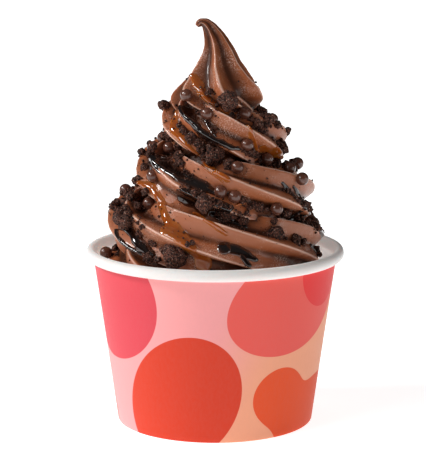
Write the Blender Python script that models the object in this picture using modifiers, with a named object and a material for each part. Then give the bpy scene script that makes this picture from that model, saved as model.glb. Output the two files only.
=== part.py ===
"""Chocolate soft serve in a paper cup, with crunchy pearls, cookie pieces and two sauces.

The cup is a tapered paper wall with a rolled rim and a recessed bottom disc. The ice cream is one
rope from a six-point star nozzle: it fills the cup, climbs in shrinking turns and ends in a pulled
tip. The nozzle doesn't turn while the cup does, so each ridge keeps its compass direction: on a rope
section at azimuth phi, ridge k stands at section angle RIDGE_AZIMUTH + 60 k - phi, measured from
straight outwards. Z is up, the origin is the centre of the foot, and -Y is the front.
"""

import math
import random

import bmesh
import bpy
import numpy as np
from mathutils import Matrix, Vector
from mathutils.bvhtree import BVHTree

MM = 0.001
GAP = 0.3 * MM

# ---- Paper cup ----------------------------------------------------------------------------------
CUP_HEIGHT = 78.6 * MM
FOOT_RADIUS = 43.7 * MM
WALL_TOP_RADIUS = 54.1 * MM
RIM_RADIUS = 57.5 * MM
RIM_WIDTH = 4.2 * MM
RIM_THICKNESS = 5.1 * MM
PAPER = 0.6 * MM
FOOT_RECESS = 6.0 * MM
HEM_THICKNESS = 1.2 * MM
DISC_THICKNESS = 0.8 * MM
CUP_STEPS = 48
RIM_POINTS = 9

# ---- Ice cream inside the rope: (radius, height) in mm, from the axis out to the wall --------------
FILLING = ((0, 143), (7, 138), (14, 124), (22, 106), (32, 92), (36, 78), (44, 66))
FILL_LEVEL = 60 * MM
FILLING_STEPS = 24

# ---- Rope of ice cream: (turn, centre radius, centre height, rope radius) in mm --------------------
# Whole turns are at the right (+X), halves at the left. Going up, the rope passes right, front, left.
COIL = (
    (-1.50, 33.0, 48.0, 14.5),
    (-1.00, 34.0, 58.5, 14.5),
    (-0.50, 33.8, 69.0, 14.2),
    (0.00, 35.0, 79.5, 14.0),
    (0.25, 35.0, 86.0, 14.0),
    (0.50, 34.0, 89.5, 14.0),
    (1.00, 30.6, 101.5, 14.4),
    (1.50, 21.6, 112.5, 13.4),
    (2.00, 18.8, 125.5, 13.4),
    (2.50, 11.8, 134.5, 12.0),
    (3.00, 7.5, 141.0, 12.5),
    (3.30, 3.0, 144.5, 11.0),
)
RIDGES = 6
RIDGE_AZIMUTH = math.radians(258)
# How far its ridges stand on from RIDGE_AZIMUTH, as (turn, degrees).
COIL_TWIST = ((-1.5, 0.0), (1.8, 0.0), (1.95, 0.0), (2.3, 14.0), (2.45, 14.0), (3.3, 14.0))
RIDGE_DEPTH = 0.24
RIDGE_SHARPNESS = 1.3
SECTION_POINTS = 18
STEPS_PER_TURN = 18
LENGTHS_PER_TURN = 2
PLUG = (0.012, 0.85)  # turns that a length reaches into the next, and its share of the radius there

# ---- Pulled tip: (sideways place of its centre, height, radius) in mm, from its base to its end ----
TIP = (
    (0.2, 134.0, 15.0),
    (0.4, 140.0, 18.7),
    (0.8, 145.5, 20.5),
    (2.0, 150.0, 18.9),
    (2.1, 154.0, 15.3),
    (1.85, 159.0, 11.5),
    (1.4, 165.0, 7.9),
    (0.3, 169.5, 5.7),
    (-1.1, 173.0, 4.3),
    (-2.7, 175.8, 3.2),
    (-4.4, 177.5, 2.4),
    (-6.0, 177.9, 1.8),
    (-7.2, 177.1, 1.6),
    (-7.9, 176.3, 1.0),
)
TIP_RINGS = 22
# How far the tip's flutes stand on from RIDGE_AZIMUTH, as (height in mm, degrees): they come out of
# the rope's winding at its base.
TIP_TWIST = (
    (134.0, 100.0), (140.0, 62.0), (143.0, 44.0), (147.0, 25.0), (150.0, 16.0), (154.0, 10.0),
    (159.0, 4.0), (165.0, 1.0),
)
LEAN_START = 152 * MM  # its sections are level up to here, and square to its centre line from here up
LEAN_END = 163 * MM
FLUTES_END_RADIUS = 4 * MM

# ---- Toppings -----------------------------------------------------------------------------------
# Each lies where a line meets the ice cream that comes down at AIM_SLOPE from outside, at the given
# azimuth in degrees, towards a height in mm on the axis.
AIM_SLOPE = math.radians(35)
AIM_START = 0.2
PEARL = 5.8 * MM
PEARL_SUNK = 0.3
FRONT_PEARLS = (
    (-130, 133.5),
    (-98, 125.5),
    (-51, 125.0),
    (-58, 109.5),
    (-71, 97.0),
    (-31, 102.5),
    (-11, 91.0),
    (-24, 83.0),
    (-163, 107.5),
    (174, 110.0),
    (168, 101.5),
    (155, 69.5),
    (-148, 76.5),
    (-145, 90.5),
    (-86, 84.0),
    (-77, 81.5),
    (-48, 73.5),
)
# One pearl is wedged between the ice cream and the cup's wall: azimuth, then radius and height in mm.
WEDGED_PEARL = (181, 48.7, 75.4)
# Cookie pieces of berry size, which are nodes of their own: (azimuth, aim height, length in mm).
CHUNKS = (
    (-72, 132.0, 8.5),
    (-3, 104.5, 8.0),
    (-90, 108.0, 10.0),
    (-96, 78.0, 9.0),
    (-81, 73.0, 8.0),
    (-147, 65.0, 10.5),
    (-112, 53.5, 11.5),
    (-53, 60.0, 8.0),
    (60, 80.0, 10.0),
    (100, 104.0, 9.0),
    (132, 62.0, 10.5),
    (20, 56.0, 9.5),
)
CHUNK_SUNK = 0.25
CHUNK_SEED = 20
# Crumbs fused to the ice cream at the front: (azimuth, aim height, length in mm).
FRONT_CRUMBS = (
    (-99, 138.5, 3.5),
    (-179, 125.5, 5.5),
    (-2, 124.0, 5.0),
    (-29, 119.0, 5.5),
    (-40, 118.5, 5.0),
    (-37, 114.0, 5.5),
    (-19, 114.0, 3.5),
    (-127, 117.5, 4.0),
    (-117, 114.0, 5.5),
    (-107, 111.5, 3.5),
    (-125, 103.5, 4.0),
    (-120, 99.5, 4.5),
    (-160, 115.0, 5.0),
    (-146, 112.0, 4.5),
    (172, 96.5, 4.0),
    (-165, 92.5, 4.0),
    (-76, 99.5, 5.5),
    (-55, 105.5, 4.5),
    (-47, 104.5, 3.5),
    (-17, 97.0, 4.5),
    (-159, 85.0, 4.5),
    (-146, 81.0, 4.0),
    (178, 64.5, 5.0),
    (-165, 74.5, 6.0),
    (-152, 72.5, 4.5),
    (-164, 64.5, 4.5),
    (-138, 59.0, 3.5),
    (-71, 70.0, 5.0),
    (-59, 76.0, 4.5),
    (-38, 71.0, 5.0),
    (-13, 65.5, 5.0),
    (-16, 56.5, 4.0),
    (-39, 54.5, 5.0),
    (-10, 47.0, 5.0),
    (-127, 48.0, 5.0),
)
CRUMB_SUNK = 0.3
# The rest of the way round, pearls and crumbs lie by a seeded rule, mostly on the ledges.
BACK_PEARLS = 12
BACK_CRUMBS = 28
BACK_CRUMB_LENGTHS = (6.5, 3.0)
BACK_SEED = 7
BACK_AZIMUTHS = (8, 165)
BACK_HEIGHTS = (46, 128)
LEDGE_RISE = 0.15
STEEP_SHARE = 0.25
APART = 0.8 * MM

# ---- Thick drizzles: run radius in mm, then (azimuth, aim height) stations -------------------------
DRIZZLE_SUNK = 0.55
DRIZZLE_STEP = 5.5 * MM
DRIZZLES = {
    "caramel": (
        (1.9, ((-153, 147.5), (-131, 141.5), (-113, 137), (-96, 133))),
        (1.8, ((-57, 120), (-51, 114.5), (-47, 107), (-38, 104), (-22, 98))),
        (2.1, ((-145, 121), (-137, 115.5), (-124, 111), (-111, 107), (-94, 97.5), (-83, 88))),
        (2.2, ((-152, 83), (-139, 82), (-132, 77), (-119, 67.5))),
        (2.6, ((-119, 67.5), (-112, 61), (-105, 57.5), (-101, 53), (-98, 50))),
        (2.1, ((70, 112), (85, 104), (98, 98), (110, 90))),
        (2.2, ((150, 98), (160, 88), (172, 80))),
    ),
    "chocolate": (
        (1.9, ((-147, 132.5), (-123, 126), (-105, 116.5), (-92, 111.5), (-80, 109.5), (-68, 107.5))),
        (2.3, ((-147, 98), (-129, 95.5), (-114, 90.5), (-101, 86), (-91, 83.5))),
        (2.2, ((-115, 81.5), (-105, 80), (-93, 75.5), (-81, 65.5), (-78, 61))),
        (2.4, ((-155, 58.5), (-142, 53), (-131, 49.5))),
        (2.4, ((-85, 55), (-77, 56), (-69, 52.5))),
        (2.0, ((-36, 82), (-35, 74), (-20, 65), (-12, 57), (-4, 50))),
        (2.2, ((30, 92), (44, 84), (58, 76), (66, 68))),
        (2.2, ((100, 74), (112, 66), (124, 60), (134, 52))),
    ),
}

# ---- Colours (linear), roughness -------------------------------------------------------------------
FINISHES = {
    "white_paperboard": ((0.86, 0.84, 0.82), 0.45),
    "printed_paperboard": ((0.80, 0.36, 0.38), 0.4),
    "chocolate_soft_serve": ((0.27, 0.13, 0.085), 0.42),
    "dark_cookie": ((0.022, 0.011, 0.009), 0.85),
}


def new_object(name, mesh, collection):
    obj = bpy.data.objects.new(name, mesh)
    collection.objects.link(obj)
    return obj


def finish(name):
    """The material of this name, made on its first use."""
    material = bpy.data.materials.get(name)
    if material is None:
        colour, roughness = FINISHES[name]
        material = bpy.data.materials.new(name)
        material.use_nodes = True
        shader = material.node_tree.nodes["Principled BSDF"]
        shader.inputs["Base Color"].default_value = (*colour, 1)
        shader.inputs["Roughness"].default_value = roughness
        shader.inputs["Metallic"].default_value = 0
    return material


def applied(obj):
    """Gives an object its evaluated mesh, and takes its modifiers away."""
    graph = bpy.context.evaluated_depsgraph_get()
    mesh = bpy.data.meshes.new_from_object(obj.evaluated_get(graph))
    obj.modifiers.clear()
    obj.data = mesh


def turned(name, profile, steps, collection):
    """A solid of revolution about Z: a profile of (radius, height), down its outer side, and a Screw."""
    mesh = bpy.data.meshes.new(name)
    closed = profile[0][0] > 0
    count = len(profile)
    edges = [(i, (i + 1) % count) for i in range(count if closed else count - 1)]
    mesh.from_pydata([(radius, 0, height) for radius, height in profile], edges, [])
    obj = new_object(name, mesh, collection)
    screw = obj.modifiers.new("turn", "SCREW")
    screw.steps = screw.render_steps = steps
    screw.use_merge_vertices = True
    screw.merge_threshold = 0.00001
    return obj


# ---- Cup -------------------------------------------------------------------------------------------
def wall_radius(height):
    """Outer radius of the tapered paper wall at this height."""
    top = CUP_HEIGHT - RIM_THICKNESS
    return FOOT_RADIUS + (WALL_TOP_RADIUS - FOOT_RADIUS) * height / top


def rim_arc():
    """The rolled rim, from its inner side over the top and round to under the roll."""
    middle = (RIM_RADIUS - RIM_WIDTH / 2, CUP_HEIGHT - RIM_THICKNESS / 2)
    for angle in np.radians(np.linspace(180, -120, RIM_POINTS)):
        yield (
            middle[0] + RIM_WIDTH / 2 * math.cos(angle),
            middle[1] + RIM_THICKNESS / 2 * math.sin(angle),
        )


def cup_wall(collection):
    """Tapered wall with a rolled rim at the top and a hem turned inwards round the foot."""
    under_rim = CUP_HEIGHT - RIM_THICKNESS
    hem = FOOT_RADIUS - HEM_THICKNESS
    profile = [
        *rim_arc(),
        (wall_radius(under_rim), under_rim),
        (wall_radius(0), 0),
        (hem, 0),
        (wall_radius(FOOT_RECESS) - HEM_THICKNESS, FOOT_RECESS - GAP),
        (wall_radius(FOOT_RECESS) - PAPER, FOOT_RECESS - GAP),
        (wall_radius(under_rim) - PAPER, under_rim),
    ]
    wall = turned("cup_wall", profile, CUP_STEPS, collection)
    wall.data.materials.append(finish("printed_paperboard"))


def cup_base(collection):
    """Bottom disc, set in above the hem."""
    low, high = FOOT_RECESS, FOOT_RECESS + DISC_THICKNESS
    profile = [
        (0, high),
        (wall_radius(high) - PAPER - GAP, high),
        (wall_radius(low) - PAPER - GAP, low),
        (0, low),
    ]
    disc = turned("cup_base", profile, CUP_STEPS, collection)
    disc.data.materials.append(finish("white_paperboard"))


# ---- Swirl -----------------------------------------------------------------------------------------
def smooth(x, table):
    """Cubic through the rows of a table (x, values...), with slopes from each row's neighbours."""
    rows = np.array(table, float)
    xs, ys = rows[:, 0], rows[:, 1:]
    slopes = np.gradient(ys, xs, axis=0)
    x = np.clip(x, xs[0], xs[-1])
    low = np.clip(np.searchsorted(xs, x, side="right") - 1, 0, len(xs) - 2)
    step = (xs[low + 1] - xs[low])[:, None]
    t = (x - xs[low])[:, None] / step
    return (
        (2 * t**3 - 3 * t**2 + 1) * ys[low]
        + (t**3 - 2 * t**2 + t) * step * slopes[low]
        + (3 * t**2 - 2 * t**3) * ys[low + 1]
        + (t**3 - t**2) * step * slopes[low + 1]
    )


def unit(vectors):
    return vectors / np.linalg.norm(vectors, axis=-1, keepdims=True)


def star(from_ridge):
    """Share of the full radius on a star section: 1 at each ridge and less between two ridges."""
    return 1 - RIDGE_DEPTH * np.abs(np.sin(RIDGES * from_ridge / 2)) ** RIDGE_SHARPNESS


def coil_centre(turn):
    phi = -2 * np.pi * turn
    radius, height, _ = smooth(turn, COIL).T * MM
    return np.stack([radius * np.cos(phi), radius * np.sin(phi), height], -1)


def coil_rings(turn, from_ridge):
    """Points of the rope's surface, one ring for each turn, at these angles from the first ridge."""
    phi = -2 * np.pi * turn
    outward = np.stack([np.cos(phi), np.sin(phi), 0 * phi], -1)
    along = unit(coil_centre(turn + 0.001) - coil_centre(turn - 0.001))
    side = unit(outward - (outward * along).sum(-1, keepdims=True) * along)
    up = np.cross(along, side)
    twist = np.radians(smooth(turn, COIL_TWIST))
    theta = RIDGE_AZIMUTH - phi[:, None] + twist + from_ridge
    reach = smooth(turn, COIL)[:, 2:] * MM * star(from_ridge)
    rings = (
        coil_centre(turn)[:, None]
        + (reach * np.cos(theta))[..., None] * side[:, None]
        + (reach * np.sin(theta))[..., None] * up[:, None]
    )
    # Where the turns are narrow, the rope's inner side is flat, so that it doesn't cross the axis.
    past_axis = np.minimum((rings * outward[:, None]).sum(-1) - MM, 0)
    return rings - past_axis[..., None] * outward[:, None]


def tip_rings(count, from_ridge):
    """Points of the pulled tip: star sections square to a centre line that hooks over at its end."""
    rows = np.array(TIP) * MM
    length = np.concatenate([[0], np.hypot(*np.diff(rows[:, :2], axis=0).T).cumsum()])
    table = np.column_stack([length, rows])
    # Rings lie closer together towards the thin end.
    at = length[-1] * (1 - (1 - np.linspace(0, 1, count)) ** 1.3)
    across, height, radius = smooth(at, table).T
    nudge = length[-1] / 1000
    ahead, behind = smooth(at + nudge, table), smooth(at - nudge, table)
    lean = np.clip((height - LEAN_START) / (LEAN_END - LEAN_START), 0, 1)
    rise = ahead - behind
    along = unit(np.column_stack([rise[:, 0] * lean, 0 * at, rise[:, 1]]))
    away = np.broadcast_to([0.0, 1.0, 0.0], along.shape)
    side = np.cross(away, along)
    twist = np.radians(smooth(height / MM, TIP_TWIST))
    theta = RIDGE_AZIMUTH + twist + from_ridge
    fluted = np.clip(radius / FLUTES_END_RADIUS, 0, 1)[:, None]
    reach = radius[:, None] * (1 - fluted * (1 - star(from_ridge)))
    centre = np.column_stack([across, 0 * at, height])
    return (
        centre[:, None]
        + (reach * np.cos(theta))[..., None] * side[:, None]
        + (reach * np.sin(theta))[..., None] * away[:, None]
    )


def loft(name, rings, collection):
    """Closed solid through the rings, with a fan over each end."""
    count, around = rings.shape[:2]
    points = [*rings.reshape(-1, 3), rings[0].mean(0), rings[-1].mean(0)]
    first, last = count * around, count * around + 1
    faces = []
    for j in range(around):
        k = (j + 1) % around
        faces += [(i * around + j, i * around + k, (i + 1) * around + k, (i + 1) * around + j)
                  for i in range(count - 1)]
        faces.append((first, k, j))
        faces.append((last, last - 1 - around + j, last - 1 - around + k))
    mesh = bpy.data.meshes.new(name)
    mesh.from_pydata(points, [], faces)
    shell = bmesh.new()
    shell.from_mesh(mesh)
    bmesh.ops.recalc_face_normals(shell, faces=shell.faces)
    bmesh.ops.triangulate(shell, faces=shell.faces)
    shell.to_mesh(mesh)
    shell.free()
    return new_object(name, mesh, collection)


def filling(collection):
    """Ice cream that fills the cup and the space inside the rope."""
    low = FOOT_RECESS + DISC_THICKNESS + GAP
    profile = [(radius * MM, height * MM) for radius, height in FILLING]
    profile += [
        (wall_radius(FILL_LEVEL) - PAPER - GAP, FILL_LEVEL),
        (wall_radius(low) - PAPER - GAP, low),
        (0, low),
    ]
    solid = turned("ice_cream", profile, FILLING_STEPS, collection)
    applied(solid)
    return solid


def swirl(collection):
    """The rope, in lengths that a plug at each end joins to the next, and the pulled tip."""
    around = np.linspace(0, 2 * np.pi, SECTION_POINTS, endpoint=False)
    first, last = COIL[0][0], COIL[-1][0]
    cuts = [*np.arange(first, last, 1 / LENGTHS_PER_TURN), last]
    for i, (start, end) in enumerate(zip(cuts, cuts[1:])):
        steps = max(2, round((end - start) * STEPS_PER_TURN))
        rings = coil_rings(np.linspace(start, end, steps + 1), around)
        reach, share = PLUG
        plugs = coil_rings(np.array([start - reach, end + reach]), around)
        middles = plugs.mean(axis=1, keepdims=True)
        plugs = middles + share * (plugs - middles)
        loft(f"rope_{i}", np.concatenate([plugs[:1], rings, plugs[1:]]), collection)
    loft("tip", tip_rings(TIP_RINGS, around), collection)


# ---- Toppings --------------------------------------------------------------------------------------
class Surface:
    """The bare ice cream, as something that toppings land on."""

    def __init__(self, objects):
        points, faces = [], []
        for obj in objects:
            faces += [[len(points) + i for i in face.vertices] for face in obj.data.polygons]
            points += [vertex.co.copy() for vertex in obj.data.vertices]
        self.tree = BVHTree.FromPolygons(points, faces)

    def land(self, azimuth, aim):
        """Point and outward direction where a topping lands, from its azimuth and aim height."""
        turn = math.radians(azimuth)
        slope = (math.cos(AIM_SLOPE), math.sin(AIM_SLOPE))
        inbound = Vector((math.cos(turn) * slope[0], math.sin(turn) * slope[0], slope[1]))
        start = Vector((0, 0, aim * MM)) + inbound * AIM_START
        point, normal, _, _ = self.tree.ray_cast(start, -inbound)
        return point, normal


def lump(name, length, point, normal, sunk, rng, subdivisions, collection):
    """Rough cookie lump: an icosphere pushed towards a block, then dented, half sunk at a point."""
    shape = bmesh.new()
    bmesh.ops.create_icosphere(shape, subdivisions=subdivisions, radius=1)
    sides = Vector((1, rng.uniform(0.78, 0.95), rng.uniform(0.7, 0.9)))
    for vertex in shape.verts:
        blocky = vertex.co / max(map(abs, vertex.co)) ** 0.55
        vertex.co = blocky * sides * rng.uniform(0.84, 1.06) * length / 2 / 1.1
    turn = Matrix.Rotation(rng.uniform(0, math.tau), 4, Vector([rng.gauss(0, 1) for _ in range(3)]))
    centre = point + normal * length / 2 * (0.85 - 2 * sunk)
    bmesh.ops.transform(shape, matrix=Matrix.Translation(centre) @ turn, verts=shape.verts)
    mesh = bpy.data.meshes.new(name)
    shape.to_mesh(mesh)
    shape.free()
    return new_object(name, mesh, collection), centre


def pocket_cutter(chunk, centre, length, collection):
    """The chunk a little larger, so that its pocket leaves a gap all round."""
    grown = Matrix.Translation(centre) @ Matrix.Scale(1 + 4.5 * GAP / length, 4)
    mesh = chunk.data.copy()
    mesh.transform(grown @ Matrix.Translation(-centre))
    return new_object(f"pocket_{chunk.name}", mesh, collection)


def pearl(name, middle, collection):
    ball = bmesh.new()
    bmesh.ops.create_uvsphere(
        ball, u_segments=7, v_segments=4, radius=PEARL / 2, matrix=Matrix.Translation(middle)
    )
    mesh = bpy.data.meshes.new(name)
    ball.to_mesh(mesh)
    ball.free()
    new_object(name, mesh, collection)
    return middle


def drizzle(name, radius, stations, surface, collection):
    """A thick run of sauce: a tube along the ice cream, sunk so that a low bead stands out."""
    table = [(i, *station) for i, station in enumerate(stations)]
    fine = smooth(np.linspace(0, len(stations) - 1, 60), table)
    landed = [surface.land(azimuth, aim) for azimuth, aim in fine]
    route = np.array([point - normal * radius * DRIZZLE_SUNK for point, normal in landed])
    for _ in range(6):
        route[1:-1] = (route[:-2] + 2 * route[1:-1] + route[2:]) / 4
    length = np.concatenate([[0], np.linalg.norm(np.diff(route, axis=0), axis=1).cumsum()])
    at = np.linspace(0, length[-1], max(3, round(length[-1] / DRIZZLE_STEP) + 1))
    route = np.column_stack([np.interp(at, length, route[:, axis]) for axis in range(3)])
    curve = bpy.data.curves.new(name, "CURVE")
    curve.dimensions = "3D"
    curve.bevel_depth = radius
    curve.bevel_resolution = 1
    curve.use_fill_caps = True
    spline = curve.splines.new("POLY")
    spline.points.add(len(route) - 1)
    for spot, place in zip(spline.points, route):
        spot.co = (*place, 1)
    guide = new_object(f"{name}_route", curve, collection)
    graph = bpy.context.evaluated_depsgraph_get()
    mesh = bpy.data.meshes.new_from_object(guide.evaluated_get(graph))
    tube = bmesh.new()
    tube.from_mesh(mesh)
    bmesh.ops.remove_doubles(tube, verts=tube.verts, dist=0.01 * MM)
    bmesh.ops.recalc_face_normals(tube, faces=tube.faces)
    tube.to_mesh(mesh)
    tube.free()
    bpy.data.objects.remove(guide)
    new_object(name, mesh, collection)


def scatter(surface, sizes, taken, rng):
    """Seeded places round the back, mostly on ledges and clear of what already lies there."""
    for size in sizes:
        for _ in range(400):
            aim = rng.uniform(*BACK_HEIGHTS)
            point, normal = surface.land(rng.uniform(*BACK_AZIMUTHS), aim)
            if point is None or (normal.z < LEDGE_RISE and rng.random() > STEEP_SHARE):
                continue
            if all((point - place).length > size / 2 + room + APART for place, room in taken):
                taken.append((point, size / 2))
                yield point, normal, size
                break


def fuse(solid, parts):
    """Joins a collection of solids to one by a single Boolean, and removes them."""
    union = solid.modifiers.new("fuse", "BOOLEAN")
    union.operation = "UNION"
    union.operand_type = "COLLECTION"
    union.collection = parts
    union.solver = "MANIFOLD"
    applied(solid)
    for obj in list(parts.objects):
        bpy.data.objects.remove(obj)
    bpy.data.collections.remove(parts)
    keep_body(solid)


def keep_body(solid):
    """Drops loose scraps and sealed hollows: only the shell of largest volume stays."""
    shell = bmesh.new()
    shell.from_mesh(solid.data)
    bmesh.ops.triangulate(shell, faces=shell.faces)
    unseen, shells = set(shell.verts), []
    while unseen:
        group, front = set(), [unseen.pop()]
        while front:
            vertex = front.pop()
            group.add(vertex)
            for edge in vertex.link_edges:
                other = edge.other_vert(vertex)
                if other in unseen:
                    unseen.remove(other)
                    front.append(other)
        faces = {face for vertex in group for face in vertex.link_faces}
        volume = sum(
            face.verts[0].co.dot(face.verts[1].co.cross(face.verts[2].co)) for face in faces
        )
        shells.append((volume, group))
    body = max(shells, key=lambda found: found[0])[1]
    scraps = [vertex for vertex in shell.verts if vertex not in body]
    bmesh.ops.delete(shell, geom=scraps, context="VERTS")
    shell.to_mesh(solid.data)
    shell.free()


def ice_cream(collection, cutters):
    """Filling, rope, tip, drizzles, pearls and crumbs as one body, with a pocket for each chunk."""
    solid = filling(collection)
    fused = bpy.data.collections.new("fused")
    bpy.context.scene.collection.children.link(fused)
    swirl(fused)
    surface = Surface([solid, *fused.objects])
    taken = []

    rng = random.Random(CHUNK_SEED)
    for i, (azimuth, aim, length) in enumerate(CHUNKS, 1):
        point, normal = surface.land(azimuth, aim)
        size = length * MM
        name = f"cookie_chunk_{i:02d}"
        chunk, centre = lump(name, size, point, normal, CHUNK_SUNK, rng, 2, collection)
        chunk.data.materials.append(finish("dark_cookie"))
        pocket_cutter(chunk, centre, size, cutters)
        taken.append((centre, size / 2))

    azimuth, radius, height = WEDGED_PEARL
    across = Matrix.Rotation(math.radians(azimuth), 3, "Z") @ Vector((radius, 0, height))
    pearl("wedged_pearl", across * MM, fused)
    rise = PEARL * (0.5 - PEARL_SUNK)
    for i, place in enumerate(FRONT_PEARLS):
        point, normal = surface.land(*place)
        pearl(f"pearl_{i}", point + normal * rise, fused)
        taken.append((point, PEARL / 2))
    rng = random.Random(BACK_SEED)
    for i, (point, normal, _) in enumerate(scatter(surface, [PEARL] * BACK_PEARLS, taken, rng)):
        pearl(f"back_pearl_{i}", point + normal * rise, fused)

    crumbs = [(*surface.land(azimuth, aim), length * MM) for azimuth, aim, length in FRONT_CRUMBS]
    taken += [(point, size / 2) for point, _, size in crumbs]
    lengths = np.linspace(*BACK_CRUMB_LENGTHS, BACK_CRUMBS) * MM
    crumbs += scatter(surface, lengths, taken, rng)
    for i, (point, normal, size) in enumerate(crumbs):
        lump(f"crumb_{i}", size, point, normal, CRUMB_SUNK, rng, 1, fused)

    for sauce, runs in DRIZZLES.items():
        for i, (radius, stations) in enumerate(runs):
            drizzle(f"{sauce}_{i}", radius * MM, stations, surface, fused)

    fuse(solid, fused)
    pockets = solid.modifiers.new("pockets", "BOOLEAN")
    pockets.operation = "DIFFERENCE"
    pockets.operand_type = "COLLECTION"
    pockets.collection = cutters
    pockets.solver = "MANIFOLD"
    applied(solid)
    keep_body(solid)
    solid.data.materials.clear()
    solid.data.materials.append(finish("chocolate_soft_serve"))


def main():
    for obj in list(bpy.data.objects):
        bpy.data.objects.remove(obj, do_unlink=True)
    parts = bpy.data.collections.new("soft_serve_cup")
    cutters = bpy.data.collections.new("cutters")
    for collection in (parts, cutters):
        bpy.context.scene.collection.children.link(collection)
    cup_wall(parts)
    cup_base(parts)
    ice_cream(parts, cutters)
    for cutter in cutters.objects:
        cutter.hide_render = True
        cutter.display_type = "WIRE"
    for obj in parts.objects:
        obj.data.shade_smooth()
        obj.data.set_sharp_from_angle(angle=math.radians(40))


main()
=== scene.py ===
"""Looks of a chocolate soft serve cup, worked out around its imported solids.

The ice cream is a rope from a star nozzle that climbs in shrinking turns and ends in a pulled tip. Sauces
are films draped over it, and pearls, cookie pieces, crumbs and dust land on it. The cup is turned paper.
Everything is in metres, Z is up, the origin is the centre of the foot, and -Y is the front.
"""

import functools
import itertools
import logging
import math
import random
from dataclasses import dataclass, field
from enum import Enum
from typing import Iterable, Iterator, Sequence

import bmesh
import bpy
import numpy as np
from mathutils import Matrix, Vector
from mathutils.bvhtree import BVHTree


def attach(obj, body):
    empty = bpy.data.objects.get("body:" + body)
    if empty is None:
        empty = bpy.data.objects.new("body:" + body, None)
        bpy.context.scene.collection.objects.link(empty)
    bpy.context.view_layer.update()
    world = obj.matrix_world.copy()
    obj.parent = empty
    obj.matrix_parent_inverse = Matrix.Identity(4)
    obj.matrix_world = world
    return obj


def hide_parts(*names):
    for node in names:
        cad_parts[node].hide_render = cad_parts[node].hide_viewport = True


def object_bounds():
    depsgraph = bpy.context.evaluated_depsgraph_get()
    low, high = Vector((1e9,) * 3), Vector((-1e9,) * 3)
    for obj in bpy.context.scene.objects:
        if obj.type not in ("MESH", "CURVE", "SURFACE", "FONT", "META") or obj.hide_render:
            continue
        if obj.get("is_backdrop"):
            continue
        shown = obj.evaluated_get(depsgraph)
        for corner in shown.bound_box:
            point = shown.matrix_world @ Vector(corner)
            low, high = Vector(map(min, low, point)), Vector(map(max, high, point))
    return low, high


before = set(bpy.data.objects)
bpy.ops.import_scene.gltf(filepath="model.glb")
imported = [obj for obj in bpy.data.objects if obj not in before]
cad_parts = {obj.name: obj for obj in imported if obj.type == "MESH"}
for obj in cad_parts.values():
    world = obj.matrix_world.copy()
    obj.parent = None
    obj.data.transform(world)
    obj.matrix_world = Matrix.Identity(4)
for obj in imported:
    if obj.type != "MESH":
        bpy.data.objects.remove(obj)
CAD_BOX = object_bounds()

MM = 0.001
ROOT = "root"
Array = np.ndarray
Colour = tuple[float, float, float]
log = logging.getLogger("soft_serve")


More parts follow.
